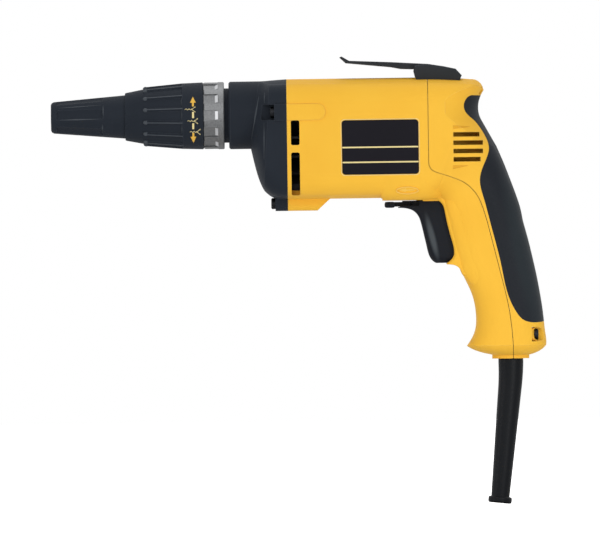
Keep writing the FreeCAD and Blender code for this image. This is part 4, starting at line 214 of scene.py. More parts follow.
# The part of a noise that is used, its detail, and what it does to roughness and bump.
NOISE_LOW, NOISE_HIGH = 0.3, 0.7
DRIFT_DETAIL, FINE_DETAIL = 2.0, 3.0
SATIN_SWING, SATIN_BUMP = 0.06, 0.35
PLASTIC_IOR = 1.5

def moulded(name, light, dark, rubbed, grain, rough, depth, shine):
    """A moulded skin: two close colours, that of pale edges (partly wear, partly painted highlight), grain in
    mm, roughness, depth in mm, shine.
    """
    made, tree, output, place = new_finish(name)
    drift = add(tree, "ShaderNodeTexNoise", [("Scale", 1 / (DRIFT * MM)), ("Detail", DRIFT_DETAIL)],
                [("Vector", place)])
    body = add(tree, "ShaderNodeMix", [(6, colour(dark)), (7, colour(light))], [(0, drift.outputs["Fac"])],
               data_type="RGBA")
    edge = add(tree, "ShaderNodeBevel", [("Radius", EDGE_ROUND * MM)], samples=4)
    face = add(tree, "ShaderNodeNewGeometry")
    agree = add(tree, "ShaderNodeVectorMath", [], [(0, edge.outputs[0]), (1, face.outputs["Normal"])],
                operation="DOT_PRODUCT")
    pale_edges = add(tree, "ShaderNodeMapRange",
               [("From Min", WORN_START), ("From Max", WORN_FULL), ("To Max", WORN_SHARE)],
               [("Value", agree.outputs["Value"])])
    mix = add(tree, "ShaderNodeMix", [(7, colour(rubbed))], [(0, pale_edges.outputs[0]), (6, body.outputs[2])],
              data_type="RGBA")
    pits = add(tree, "ShaderNodeTexNoise", [("Scale", 1 / (grain * MM)), ("Detail", FINE_DETAIL)],
               [("Vector", place)])
    gloss = add(tree, "ShaderNodeMapRange",
                [("From Min", NOISE_LOW), ("From Max", NOISE_HIGH), ("To Min", rough - SATIN_SWING),
                 ("To Max", rough + SATIN_SWING)], [("Value", pits.outputs["Fac"])])
    bump = add(tree, "ShaderNodeBump", [("Strength", SATIN_BUMP), ("Distance", depth * MM)],
               [("Height", pits.outputs["Fac"]), ("Normal", edge.outputs[0])])
    skin = add(tree, "ShaderNodeBsdfPrincipled", [("IOR", PLASTIC_IOR), ("Specular IOR Level", shine)],
               [("Base Color", mix.outputs[2]), ("Roughness", gloss.outputs[0]), ("Normal", bump.outputs[0])])
    tree.links.new(skin.outputs[0], output.inputs["Surface"])
    return made

# Nylon with glass fibre: an even satin that spreads highlights wide.
yellow_nylon = moulded("yellow_nylon", "#F7C142", "#F3B93C", "#FCD370", 0.9, 0.55, 0.05, 0.06)
black_nylon = moulded("black_nylon", "#282D35", "#21262D", "#4A4F57", 0.9, 0.55, 0.05, 0.06)
# Acetal: denser and smoother, so it looks deeper and a little glossier.
black_acetal = moulded("black_acetal", "#191C23", "#14171C", "#2F3238", 0.7, 0.45, 0.03, 0.1)
# Stove paint on the steel clip: a dark satin, paler along its edges.
clip_paint = moulded("clip_paint", "#33373B", "#2B2E32", "#54585B", 0.8, 0.55, 0.03, 0.06)
# Soft rubber of the grip: nearly matt. Harder rubber of the boot: darker, with a faint shine.
grip_rubber = moulded("grip_rubber", "#161B23", "#12161C", "#2B3036", 0.7, 0.62, 0.08, 0.2)
boot_rubber = moulded("boot_rubber", "#080B11", "#06090D", "#23272B", 1.2, 0.45, 0.04, 0.15)
# Plain nylon of the fan: dark and dull behind the vents. The plates of painted shade behind the lower vents
# use it too.
fan_nylon = moulded("fan_nylon", "#1A1B1E", "#151619", "#2A2B2E", 0.9, 0.55, 0.05, 0.2)
# Polyester film of the plates: flat and smooth, with hardly any grain.
label_film = moulded("label_film", "#13111A", "#100F15", "#25232D", 1.6, 0.4, 0.02, 0.1)
# Pressed carbon is sooty and rough, and felt is a soft matt fuzz.
pressed_carbon = moulded("pressed_carbon", "#2C2C2D", "#222223", "#3A3A3B", 0.5, 0.6, 0.06, 0.5)
seal_felt = moulded("seal_felt", "#6B675F", "#575349", "#7A766E", 0.6, 0.95, 0.3, 0.1)
# Ink from a printing pad: thin, even and opaque.
amber_ink = moulded("amber_ink", "#EFBE50", "#E2AE40", "#F4D080", 0.5, 0.5, 0.01, 0.2)
cream_ink = moulded("cream_ink", "#F3E2A4", "#E9D48C", "#F7ECC4", 0.5, 0.5, 0.01, 0.2)
# The same nylons with painted light: paler for highlights on edges, ribs and signs, darker for shade in
# flutes.
black_highlight = moulded("black_highlight", "#4C5157", "#42474D", "#666B71", 0.9, 0.5, 0.03, 0.1)
yellow_shade = moulded("yellow_shade", "#E9AC35", "#E2A22E", "#F2BE58", 0.9, 0.6, 0.03, 0.05)
yellow_edge = moulded("yellow_edge", "#FBE09A", "#F9D989", "#FDE9B5", 0.9, 0.5, 0.03, 0.2)
yellow_sign_highlight = moulded("yellow_sign_highlight", "#FACB58", "#F7C44E", "#FDDB8A", 0.9, 0.5, 0.03, 0.2)
print("plastics made")

# %% [markdown]
# ## Painted highlights on the trigger and the grip
# The front of the trigger and the back of the grip each catch the light in a soft paler patch,
# painted here as a highlight. It could be painted by hand, but a long oval in Object coordinates
# does it: the distance from its middle, counted in its own half sizes, mixes a second colour into a
# copy of the finish.

# %% Finishes with a painted highlight
PATCH_EDGE, PATCH_CORE = 1.0, 0.25

def paint_highlight(finish, name, spot, lean, halves, tone):
    """A copy of a finish with a paler patch, a painted highlight: middle in metres, lean in degrees, half
    sizes in mm, tone.
    """
    made = finish.copy()
    made.name = name
    tree = made.node_tree
    skin = next(node for node in tree.nodes if node.type == "BSDF_PRINCIPLED")
    plain = skin.inputs["Base Color"].links[0].from_socket
    place = add(tree, "ShaderNodeTexCoord").outputs["Object"]
    moved = add(tree, "ShaderNodeMapping",
                [("Location", (spot[0], 0, spot[1])), ("Rotation", (0, math.radians(lean), 0)),
                 ("Scale", (halves[0] * MM, 1, halves[1] * MM))], [("Vector", place)], vector_type="TEXTURE")
    flat = add(tree, "ShaderNodeVectorMath", [(1, (1, 0, 1))], [(0, moved.outputs[0])], operation="MULTIPLY")
    away = add(tree, "ShaderNodeVectorMath", [], [(0, flat.outputs[0])], operation="LENGTH")
    share = add(tree, "ShaderNodeMapRange", [("From Min", PATCH_EDGE), ("From Max", PATCH_CORE)],
                [("Value", away.outputs["Value"])], interpolation_type="SMOOTHSTEP")
    mix = add(tree, "ShaderNodeMix", [(7, colour(tone))], [(0, share.outputs[0]), (6, plain)],
              data_type="RGBA")
    tree.links.new(mix.outputs[2], skin.inputs["Base Color"])
    return made

TRIGGER_HIGHLIGHT_SPOT, GRIP_HIGHLIGHT_SPOT = (432, 237), (524, 258)
# A paler streak down the trigger's front and a faint grey bloom on the back of the grip: painted highlights.
trigger_highlight_acetal = paint_highlight(black_acetal, "trigger_highlight_acetal", place_of(TRIGGER_HIGHLIGHT_SPOT), -14, (2.7, 18.0), "#474D52")
grip_highlight_rubber = paint_highlight(grip_rubber, "grip_highlight_rubber", place_of(GRIP_HIGHLIGHT_SPOT), -12, (9.0, 75.0), "#1F262B")
print("rubbed finishes", trigger_highlight_acetal.name, grip_highlight_rubber.name)

# %% [markdown]
# ## Metals
# Turned and ground pieces carry fine rings around the spindle, so their lines change mostly along
# X. Cast, sheet and wire pieces have a grain without a direction. A Wave texture could draw the
# rings, but too evenly, so a stretched noise does it. Each metal keeps its own tint, and its
# roughness drifts a little. Real marks of turning are about 0.1 mm apart. They are drawn coarser
# here so that they show.

# %% Finishes of metal
METAL_SWING, METAL_BUMP = 0.07, 0.3

def metal(name, light, dark, rough, line, depth, along):
    """A metal: two tints, a middle roughness, the pitch and depth of its marks in mm, and their stretch."""
    made, tree, output, place = new_finish(name)
    stretch = add(tree, "ShaderNodeMapping", [("Scale", along)], [("Vector", place)])
    marks = add(tree, "ShaderNodeTexNoise", [("Scale", 1 / (line * MM)), ("Detail", FINE_DETAIL)],
                [("Vector", stretch.outputs[0])])
    mix = add(tree, "ShaderNodeMix", [(6, colour(dark)), (7, colour(light))], [(0, marks.outputs["Fac"])],
              data_type="RGBA")
    gloss = add(tree, "ShaderNodeMapRange",
                [("From Min", NOISE_LOW), ("From Max", NOISE_HIGH), ("To Min", rough - METAL_SWING),
                 ("To Max", rough + METAL_SWING)], [("Value", marks.outputs["Fac"])])
    bump = add(tree, "ShaderNodeBump", [("Strength", METAL_BUMP), ("Distance", depth * MM)],
               [("Height", marks.outputs["Fac"])])
    skin = add(tree, "ShaderNodeBsdfPrincipled", [("Metallic", 1.0)],
               [("Base Color", mix.outputs[2]), ("Roughness", gloss.outputs[0]), ("Normal", bump.outputs[0])])
    tree.links.new(skin.outputs[0], output.inputs["Surface"])
    return made

# How much the marks vary along X, Y and Z.
ROUND, EVEN, STACKED = (1.0, 0.05, 0.05), (1.0, 1.0, 1.0), (1.0, 0.0, 0.0)
# Plating on cast zinc, gone cloudy in grey patches. A brighter copy paints the highlight on sloped faces.
plated_zinc = metal("plated_zinc", "#959697", "#4E5052", 0.5, 0.8, 0.1, EVEN)
zinc_highlight = metal("zinc_highlight", "#D2D3D5", "#BCBDC0", 0.35, 0.7, 0.02, EVEN)
# Oxidised screws: dark with a dull sheen. Ground steel: bright, with fine rings. Drawn wire: plain grey.
black_oxide = metal("black_oxide", "#2C2D30", "#202124", 0.42, 0.6, 0.02, EVEN)
ground_steel = metal("ground_steel", "#B4B5B8", "#96979B", 0.28, 0.4, 0.01, ROUND)
spring_wire = metal("spring_wire", "#85868A", "#696A6E", 0.35, 0.5, 0.01, EVEN)
# Stacked sheet and wound copper show as lines across their length.
sheet_stack = metal("sheet_stack", "#75767A", "#4E4F53", 0.5, 0.8, 0.05, STACKED)
enamelled_copper = metal("enamelled_copper", "#B9693A", "#8E4A25", 0.3, 0.7, 0.08, STACKED)
# Sintered bronze is porous and dull, rolled brass smooth and yellow, die-cast alloy pale and even.
sintered_bronze = metal("sintered_bronze", "#B58B4C", "#94703A", 0.48, 0.5, 0.04, EVEN)
sheet_brass = metal("sheet_brass", "#D0AC63", "#B8934B", 0.33, 1.0, 0.02, EVEN)
die_casting = metal("die_casting", "#A3A5A8", "#87898C", 0.5, 1.2, 0.06, EVEN)
print("metals made")

# %% [markdown]
# ## Which piece has which finish
# The pieces keep their CAD mesh and only get a finish. Each could be dressed in a line of its own,
# but a list by finish is easier to read and to change. Only two springs are replaced, at the end of
# the lesson.

# %% Dress the CAD nodes
FINISHES = [
    (yellow_nylon, "motor_housing handle_cover"),
    (black_nylon, "gear_case depth_collar nose_cone"),
    (trigger_highlight_acetal, "trigger"),
    (black_acetal, "reverse_lever switch_body cord_clamp fan_baffle rear_bracket"),
    (clip_paint, "belt_clip"),
    (grip_highlight_rubber, "grip_overmould"),
    (grip_rubber, "spigot_o_ring"),
    (boot_rubber, "cord_boot"),
    (label_film, "label_plate_left label_plate_right"),
    (fan_nylon, "cooling_fan"),
    (pressed_carbon, "carbon_brush_left carbon_brush_right"),
    (seal_felt, "spindle_seal"),
    (plated_zinc, "nose_ring"),
    (ground_steel, "spindle clutch_jaw bit_holder holder_magnet drive_gear armature_shaft detent_ball"
     " cord_clamp_screws front_bearing_outer_race front_bearing_inner_race front_bearing_balls"
     " rear_bearing_outer_race rear_bearing_inner_race rear_bearing_balls"),
    (black_oxide, "gear_case_screws handle_cover_screws belt_clip_screw"),
    (spring_wire, "trigger_spring clutch_spring detent_spring brush_spring_left brush_spring_right"
     " collar_snap_ring bit"),
    (sheet_stack, "stator_core armature_core"),
    (enamelled_copper, "stator_coils armature_windings commutator"),
    (sintered_bronze, "spindle_front_bush spindle_rear_bush spindle_thrust_washer"),
    (sheet_brass, "brush_holder_left brush_holder_right"),
    (die_casting, "bearing_plate"),
]
for finish, names in FINISHES:
    for name in names.split():
        frame["nodes"][name].data.materials.clear()
        frame["nodes"][name].data.materials.append(finish)
dressed = sum(len(names.split()) for _, names in FINISHES)
print("dressed", dressed, "of", len(frame["nodes"]), "nodes")

# %% [markdown]
# ## Marks on curved pieces
# A print or a raised sign is a flat strip of faces, drawn in millimetres along its own length by
# extruding one edge from row to row. It is cut finer, turned to face the camera and set in front of
# the piece that carries it. A Shrinkwrap modifier then pushes it along Y until it lies on that
# piece, and Solidify gives the ink or the relief its thickness. It could be painted in the material
# instead, but this way a mark follows a round collar without any arithmetic, and its edge stays
# sharp from close up. What the near side has, a mirrored copy with a mesh of its own gives to the
# far side.

# %% Helpers for marks
IN_FRONT, INK_GAP = 60, 0.02
MIRROR = (1, -1, 1)

def choose(pieces):
    """Selects these pieces only, and makes the first one active."""
    bpy.ops.object.select_all(action="DESELECT")
    for piece in pieces:
        piece.select_set(True)
    bpy.context.view_layer.objects.active = pieces[0]

def strip(rows, cuts):
    """A flat strip in mm, facing up: each row is a place along, an offset and a width."""
    (start, offset, width), (end, *_) = rows[:2]
    bpy.ops.object.select_all(action="DESELECT")
    bpy.ops.mesh.primitive_plane_add(size=1)
    made = bpy.context.object
    made.scale = ((end - start) * MM, width * MM, 1)
    made.location = ((start + end) / 2 * MM, offset * MM, 0)
    bpy.ops.object.transform_apply()
    bpy.ops.object.mode_set(mode="EDIT")
    bpy.ops.mesh.select_all(action="DESELECT")
    shape = bmesh.from_edit_mesh(made.data)
    for point in shape.verts:
        point.select_set(abs(point.co.x - end * MM) < abs(end - start) * MM / 2)
    shape.select_flush(True)
    at, across, wide = end, offset, width
    for i, (to, aside, broad) in enumerate(rows[1:]):
        move = ((to - at) * MM, (aside - across) * MM, 0)
        if i:
            bpy.ops.mesh.extrude_region_move(TRANSFORM_OT_translate={"value": move})
        else:
            bpy.ops.transform.translate(value=move)
        middle_of_edge = (to * MM, aside * MM, 0)
        bpy.ops.transform.resize(value=(1, broad / wide, 1), center_override=middle_of_edge)
        at, across, wide = to, aside, broad
    bpy.ops.mesh.select_all(action="SELECT")
    bpy.ops.mesh.subdivide(number_cuts=cuts)
    bpy.ops.object.mode_set(mode="OBJECT")
    return made

def face_camera(made, spot, turn=0.0):
    """Stands a flat strip up in front of the tool, with its own origin at a spot given as X and Z in mm."""
    made.rotation_euler = (math.pi / 2, -turn, 0)
    made.location = (spot[0] * MM, -IN_FRONT * MM, spot[1] * MM)

def lay_on(pieces, name, carrier, height):
    """Joins flat strips into one piece and lays it on another piece, with a thickness in mm."""
    choose(pieces)
    bpy.ops.object.join()
    bpy.ops.object.transform_apply()
    made = pieces[0]
    made.name = name
    lay = made.modifiers.new("lay", "SHRINKWRAP")
    lay.target = carrier
    lay.wrap_method = "PROJECT"
    lay.use_project_y = True
    lay.offset = INK_GAP * MM
    relief = made.modifiers.new("relief", "SOLIDIFY")
    relief.thickness = height * MM
    relief.offset = 1
    for modifier in ("lay", "relief"):
        bpy.ops.object.modifier_apply(modifier=modifier)
    return made

def far_side(made, name, turn=(0, 0, 0), scale=(1, 1, 1)):
    """A copy with a mesh of its own, turned or mirrored to the other side of the tool."""
    copy = made.copy()
    copy.data = made.data.copy()
    copy.name = name
    bpy.context.collection.objects.link(copy)
    choose([copy])
    copy.rotation_euler = turn
    copy.scale = scale
    bpy.ops.object.transform_apply()
    bpy.ops.object.mode_set(mode="EDIT")
    bpy.ops.mesh.select_all(action="SELECT")
    bpy.ops.mesh.normals_make_consistent(inside=False)
    bpy.ops.object.mode_set(mode="OBJECT")
    return copy

def settle(made, finish, body):
    """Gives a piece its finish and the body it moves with."""
    made.data.materials.clear()
    made.data.materials.append(finish)
    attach(made, body)

def both_sides(made, finish, body):
    """Settles a piece of the near side, and a mirrored copy of it on the far side."""
    for side in (made, far_side(made, made.name + "_far", scale=MIRROR)):
        settle(side, finish, body)

# %% [markdown]
# ## Print on the depth collar
# The collar carries a double arrow for deeper and shallower, with three small screws that sink step
# by step. They are printed by a soft pad, so the ink follows the round and has hardly any
# thickness. The collar looks the same after half a turn, so the print on its other side is the same
# print turned by half a turn.

# %% The double arrow
HALF_TURN = (math.pi, 0, 0)
collar = frame["nodes"]["depth_collar"]
UP, DOWN = math.pi / 2, -math.pi / 2
ARROW_X, HEAD_ENDS = 86.8, ((5.6, UP), (-10.4, DOWN))
DASH_WIDTH, DASHES = 1.2, ((-1.5, 2.3), (-8.2, -4.6))
INK = 0.08
HEAD = [(0, 0, DASH_WIDTH), (2.3, 0, DASH_WIDTH), (2.35, 0, 3.6), (3.5, 0, 2.4), (5.8, 0, 0.2)]
heads = []
for height, turn in HEAD_ENDS:
    heads.append(strip(HEAD, cuts=4))
    face_camera(heads[-1], (ARROW_X, height), turn)
arrow_heads = lay_on(heads, "collar_arrow_heads", collar, INK)
dashes = []
for low, high in DASHES:
    dashes.append(strip([(low, 0, DASH_WIDTH), (high, 0, DASH_WIDTH)], cuts=5))
    face_camera(dashes[-1], (ARROW_X, 0), UP)
arrow_dashes = lay_on(dashes, "collar_arrow_dashes", collar, INK)
print("arrow", len(arrow_heads.data.polygons) + len(arrow_dashes.data.polygons), "faces")

# %% The three screws
THREAD = [(0, 0, 0.3), (0.9, 0.4, 0.35), (1.7, -0.35, 0.4), (2.6, 0.45, 0.4), (3.4, -0.3, 0.4),
          (4.3, 0.3, 0.45)]
HEAD_ARM = [(4.2, 0.1, 0.5), (5.0, 0.5, 0.4), (5.8, 1.25, 0.4), (6.4, 1.5, 0.8)]
OTHER_ARM = [(along, -aside, width) for along, aside, width in HEAD_ARM]
SIGN_SPOTS = ((81.8, 3.8), (83.3, -3.3), (84.7, -9.9))
signs = []
for spot in SIGN_SPOTS:
    for rows in (THREAD, HEAD_ARM, OTHER_ARM):
        signs.append(strip(rows, cuts=2))
        face_camera(signs[-1], spot)
screw_signs = lay_on(signs, "collar_screw_signs", collar, INK)
for made, finish in ((arrow_heads, amber_ink), (arrow_dashes, cream_ink), (screw_signs, cream_ink)):
    settle(made, finish, "depth_collar")
    settle(far_side(made, made.name + "_far", turn=HALF_TURN), finish, "depth_collar")
print("screws", len(screw_signs.data.polygons), "faces")

# %% [markdown]
# ## Small solids
# The pieces below start as a block, a sphere, a circle or a point, and are shaped in edit mode. Six
# helpers do what they share: they start a block, select points by their place, clean a mesh up,
# repeat it around the spindle, round all its edges, and give a sheet its thickness.

# %% Helpers for small solids
MERGE_WITHIN, SMOOTH_UP_TO = 0.001, 40

def block(name, low, high):
    """A plain block in mm between two corners, left in edit mode."""
    bpy.ops.object.select_all(action="DESELECT")
    bpy.ops.mesh.primitive_cube_add(size=1, location=[(a + b) / 2 * MM for a, b in zip(low, high)])
    made = bpy.context.object
    made.name = name
    made.scale = [(b - a) * MM for a, b in zip(low, high)]
    bpy.ops.object.transform_apply()
    bpy.ops.object.mode_set(mode="EDIT")
    return made

def pick(made, wanted):
    """Selects the points in edit mode whose place in mm is wanted, with the edges and faces between them."""
    bpy.ops.mesh.select_all(action="DESELECT")
    shape = bmesh.from_edit_mesh(made.data)
    for point in shape.verts:
        point.select_set(wanted(point.co / MM))
    shape.select_flush(True)
    bmesh.update_edit_mesh(made.data)

def clean_up():
    """Merges doubled points, turns the normals outwards, leaves edit mode and shades round parts smooth."""
    bpy.ops.mesh.select_all(action="SELECT")
    bpy.ops.mesh.remove_doubles(threshold=MERGE_WITHIN * MM)
    bpy.ops.mesh.normals_make_consistent(inside=False)
    bpy.ops.object.mode_set(mode="OBJECT")
    bpy.ops.object.shade_smooth_by_angle(angle=math.radians(SMOOTH_UP_TO))

def set_around(count):
    """Repeats the mesh in edit mode around the spindle and cleans it up."""
    bpy.ops.mesh.select_all(action="SELECT")
    bpy.ops.mesh.spin(steps=count, dupli=True, angle=math.tau, center=(0, 0, 0), axis=(1, 0, 0))
    clean_up()

def round_off(radius, segments):
    """Rounds all edges of the mesh in edit mode, with a radius in mm, and cleans it up."""
    bpy.ops.mesh.select_all(action="SELECT")
    bpy.ops.mesh.bevel(offset=radius * MM, segments=segments)
    clean_up()

def thicken(made, thickness):
    """Gives a sheet in edit mode its thickness in mm, half to each side, and cleans it up."""
    bpy.ops.object.mode_set(mode="OBJECT")
    body = made.modifiers.new("body", "SOLIDIFY")
    body.thickness = thickness * MM
    body.offset = 0
    bpy.ops.object.modifier_apply(modifier="body")
    bpy.ops.object.mode_set(mode="EDIT")
    clean_up()

# %% [markdown]
# ## Rib ends on the depth collar
# Each rib of the collar starts in a small round knob for the fingertips. One knob is a sphere,
# drawn a little longer along the tool and cut away below the collar's skin. The others could be set
# by hand, but Spin keeps the distance between all fourteen the same.

# %% Fourteen knobs
RIBS = 14
KNOB_RADIUS, KNOB_STRETCH = 1.3, 1.25
KNOB_BACK, KNOB_OUT, KNOB_SUNK = 12.6, 16.9, 0.4
knob_x, knob_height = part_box("depth_collar")[0].x + KNOB_BACK * MM, KNOB_OUT * MM
bpy.ops.object.select_all(action="DESELECT")
bpy.ops.mesh.primitive_uv_sphere_add(segments=20, ring_count=12, radius=KNOB_RADIUS * MM,
                                     location=(knob_x, 0, knob_height))
knobs = bpy.context.object
knobs.name = "collar_rib_knobs"
knobs.scale = (KNOB_STRETCH, 1, 1)
bpy.ops.object.transform_apply()
bpy.ops.object.mode_set(mode="EDIT")
bpy.ops.mesh.select_all(action="SELECT")
bpy.ops.mesh.bisect(plane_co=(knob_x, 0, knob_height - KNOB_SUNK * MM), plane_no=(0, 0, 1),
                    clear_inner=True, use_fill=True)
set_around(RIBS)
# The paler black of the knobs is a painted highlight on their round tips.
settle(knobs, black_highlight, "depth_collar")
print("knobs", len(knobs.data.polygons), "faces")

# %% [markdown]
# ## Painted highlights on the crests of the ribs
# The crest of each rib catches the light as a paler, thinner line, painted here as a highlight. It
# could be a paler colour on the rib's own faces, but they are wider than the line. So one crest is a
# narrow bar, lifted at its back end to follow the cone of the ribs.

# %% Fourteen crests
CREST_HALF, CREST_THICK, CREST_TOP = 0.26, 0.4, 18.0
CREST_RISE, CREST_RUN, CREST_START = 2.0, 22.0, 0.4
crest_x = knob_x / MM + CREST_START
crests = block("collar_rib_crests", (crest_x, -CREST_HALF, CREST_TOP - CREST_THICK),
               (crest_x + CREST_RUN, CREST_HALF, CREST_TOP))
pick(crests, lambda at: at.x > crest_x + CREST_RUN / 2)
bpy.ops.transform.translate(value=(0, 0, CREST_RISE * MM))
set_around(RIBS)
settle(crests, black_highlight, "depth_collar")
print("crests", len(crests.data.polygons), "faces")

# %% [markdown]
# ## Shim between collar and ring
# A thin acetal shim lets the collar turn against the plated ring. It could be a flat cylinder with
# a hole cut into it. No cut is needed this way: a circle of edges is extruded outwards into a flat
# ring, and Solidify gives it its thickness.

# %% One shim
SHIM_INNER, SHIM_OUTER, SHIM_THICK = 18.4, 20.0, 0.14
SHIM_BEHIND = 0.15
shim_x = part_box("depth_collar")[1].x + SHIM_BEHIND * MM
bpy.ops.object.select_all(action="DESELECT")
bpy.ops.mesh.primitive_circle_add(vertices=96, radius=SHIM_INNER * MM, location=(shim_x, 0, 0),
                                  rotation=(0, math.pi / 2, 0))
shim = bpy.context.object
shim.name = "collar_shim"
bpy.ops.object.transform_apply()
bpy.ops.object.mode_set(mode="EDIT")
bpy.ops.mesh.select_all(action="SELECT")
bpy.ops.mesh.extrude_edges_move()
wider = SHIM_OUTER / SHIM_INNER
bpy.ops.transform.resize(value=(1, wider, wider), center_override=(shim_x, 0, 0))
thicken(shim, SHIM_THICK)
settle(shim, black_acetal, "nose_ring")
print("shim", len(shim.data.polygons), "faces")

# %% [markdown]
# ## Ramps in the ring's pockets
# The plated ring is cast, and a cast pocket ends in a slope so that it leaves the mould. The slope
# catches the light, so its plating is painted brighter, a painted highlight. The pocket's own edge
# could be bevelled, but the CAD mesh stays as it is. So one ramp is a block whose upper front edge
# is pulled down to the pocket's floor, and Spin sets twelve of them around the spindle.

# %% Twelve ramps
POCKETS = 12
POCKET_FLOOR, POCKET_RIM = 19.5, 20.42
RAMP_FRONT, RAMP_BACK = 100.2, 102.0
RAMP_HALF, RAMP_TOE = 2.5, 0.12
ramps = block("ring_ramps", (RAMP_FRONT, -RAMP_HALF, POCKET_FLOOR), (RAMP_BACK, RAMP_HALF, POCKET_RIM))
pick(ramps, lambda at: at.x < (RAMP_FRONT + RAMP_BACK) / 2 and at.z > (POCKET_FLOOR + POCKET_RIM) / 2)
bpy.ops.transform.translate(value=(0, 0, (POCKET_FLOOR + RAMP_TOE - POCKET_RIM) * MM))
set_around(POCKETS)
settle(ramps, zinc_highlight, "nose_ring")
print("ramps", len(ramps.data.polygons), "faces")

# %% [markdown]
# ## Lips that close the gaps around the trigger
# The trigger needs room to slide, and a clean side view would see daylight through that room. A
# real tool has a lip on each side that covers it: one stands on the trigger beside the lever, the
# other hangs from the housing beside the trigger's neck. A whole skirt could be modelled, but only
# its edge is seen. So each lip is a bar whose edges are rounded with Bevel, and a mirrored copy
# serves the other side.

# %% Two pairs of lips
LIP_ROUND = 0.3
LIPS = [
    ("trigger_lip", (212.0, -9.5, -57.6), (224.4, -8.3, -56.5), black_acetal, "trigger", "dark_plastic"),
    ("housing_lip", (226.0, -12.6, -53.9), (240.0, -10.5, -52.9), yellow_nylon, "housing", "yellow_plastic"),
]
for name, low, high, finish, body, slot in LIPS:
    lip = block(name, low, high)
    round_off(LIP_ROUND, segments=3)
    both_sides(lip, finish, body)
    print(name, len(lip.data.polygons), "faces")

# %% [markdown]
# ## Rounded end of the reversing lever
# The lever's end is a rounded cap, pressed over its knob. A sphere pulled long would be round all
# over. A block whose edges are all rounded by a Bevel keeps the flat sides that the thumb pushes.

# %% Lever cap
CAP_LENGTH, CAP_HALF, CAP_LOW, CAP_HIGH = 6.4, 5.0, -57.7, -54.0
CAP_AHEAD, CAP_ROUND = 0.3, 1.5
cap_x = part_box("reverse_lever")[0].x / MM - CAP_AHEAD
lever_cap = block("lever_cap", (cap_x, -CAP_HALF, CAP_LOW), (cap_x + CAP_LENGTH, CAP_HALF, CAP_HIGH))
round_off(CAP_ROUND, segments=5)
settle(lever_cap, black_nylon, "reverse_lever")
print("lever cap", len(lever_cap.data.polygons), "faces")

# %% [markdown]
# ## Deeper belly of the housing
# Above the lever the housing is a little deeper than the barrel, and its sides run into the
# barrel's without a step. It could be sculpted freely, but rows that are scaled step by step give
# an even curve. The block's long lower edge is rounded with a large Bevel. Then its front is drawn
# out and narrowed into a ramp, and its back likewise, to end inside the handle. A cut keeps it off
# the flat pad in the middle, where the lever's pin is.

# %% Belly fairing
BELLY_FRONT, BELLY_BACK = 203.2, 224.6
BELLY_HALF, BELLY_TOP, BELLY_LOW = 32.8, -38.4, -53.2
BELLY_ROUND, PAD_HALF, NEAR = 14.6, 12.4, 0.1
# For each end, the steps that draw it out: a run in mm, and how far the new row is narrowed.
BELLY_ENDS = [
    (BELLY_FRONT, [(-2.6, (1, 0.951, 0.892))]),
    (BELLY_BACK, [(3.6, (1, 0.985, 0.995)), (3.2, (1, 0.96, 0.985)), (2.8, (1, 0.92, 0.97)),
                  (2.8, (1, 0.87, 0.95))]),
]
belly = block("belly_fairing", (BELLY_FRONT, -BELLY_HALF, BELLY_LOW), (BELLY_BACK, BELLY_HALF, BELLY_TOP))
pick(belly, lambda at: at.z < (BELLY_LOW + BELLY_TOP) / 2 and at.y < 0)
bpy.ops.mesh.bevel(offset=BELLY_ROUND * MM, segments=10)
for end, steps in BELLY_ENDS:
    pick(belly, lambda at: abs(at.x - end) < NEAR)
    for run, narrow in steps:
        bpy.ops.mesh.extrude_region_move(TRANSFORM_OT_translate={"value": (run * MM, 0, 0)})
        bpy.ops.transform.resize(value=narrow, center_override=(end * MM, 0, BELLY_TOP * MM))
bpy.ops.mesh.select_all(action="SELECT")
bpy.ops.mesh.bisect(plane_co=(0, -PAD_HALF * MM, 0), plane_no=(0, 1, 0), clear_outer=True, use_fill=True)
clean_up()
both_sides(belly, yellow_nylon, "housing")
print("belly", len(belly.data.polygons), "faces")

# %% [markdown]
# ## Cheeks beside the trigger
# The cheeks that guard the trigger swell out of the handle without a line. A patch like this could
# be a surface between curves, but rows of points are easier to narrow one by one. The outline of
# one cheek, seen from above, is a chain of points, made by extruding one point from place to place.
# The chain is then extruded down the handle row by row, narrowed a little each time so that its
# last rows sink below the skin, and cut finer with smoothing.

# %% Cheek fairings
CHEEK_OUTLINE = [(0.9, 12.2), (1.6, 14.5), (3.2, 16.6), (6.0, 18.3), (10.0, 19.3), (15.0, 19.7), (19.0, 19.2)]
CHEEK_START, CHEEK_THICK = (237.4, -53.0), 0.4
# Each row goes this far back and down in mm, and is narrowed by this share.
CHEEK_ROWS = [
    (2.1, -9.0, 0.985), (2.3, -10.0, 0.985), (2.3, -10.0, 0.99), (2.1, -8.0, 0.99), (2.2, -8.0, 0.985),
    (9.4, -11.0, 0.93),
]
outline = [Vector((CHEEK_START[0] + x, -y, CHEEK_START[1])) * MM for x, y in CHEEK_OUTLINE]
bpy.ops.object.select_all(action="DESELECT")
bpy.ops.mesh.primitive_plane_add(size=MM)
cheek = bpy.context.object
cheek.name = "cheek_fairing"
bpy.ops.object.mode_set(mode="EDIT")
bpy.ops.mesh.select_all(action="SELECT")
bpy.ops.mesh.merge(type="CENTER")
bpy.ops.transform.translate(value=outline[0])
for here, there in zip(outline, outline[1:]):
    bpy.ops.mesh.extrude_vertices_move(TRANSFORM_OT_translate={"value": there - here})
bpy.ops.mesh.select_all(action="SELECT")
for back, down, narrow in CHEEK_ROWS:
    bpy.ops.mesh.extrude_edges_move(TRANSFORM_OT_translate={"value": (back * MM, 0, down * MM)})
    bpy.ops.transform.resize(value=(1, narrow, 1), center_override=(0, 0, 0))
bpy.ops.mesh.select_all(action="SELECT")
bpy.ops.mesh.subdivide(number_cuts=3, smoothness=1)
thicken(cheek, CHEEK_THICK)
both_sides(cheek, yellow_nylon, "housing")
print("cheek", len(cheek.data.polygons), "faces")
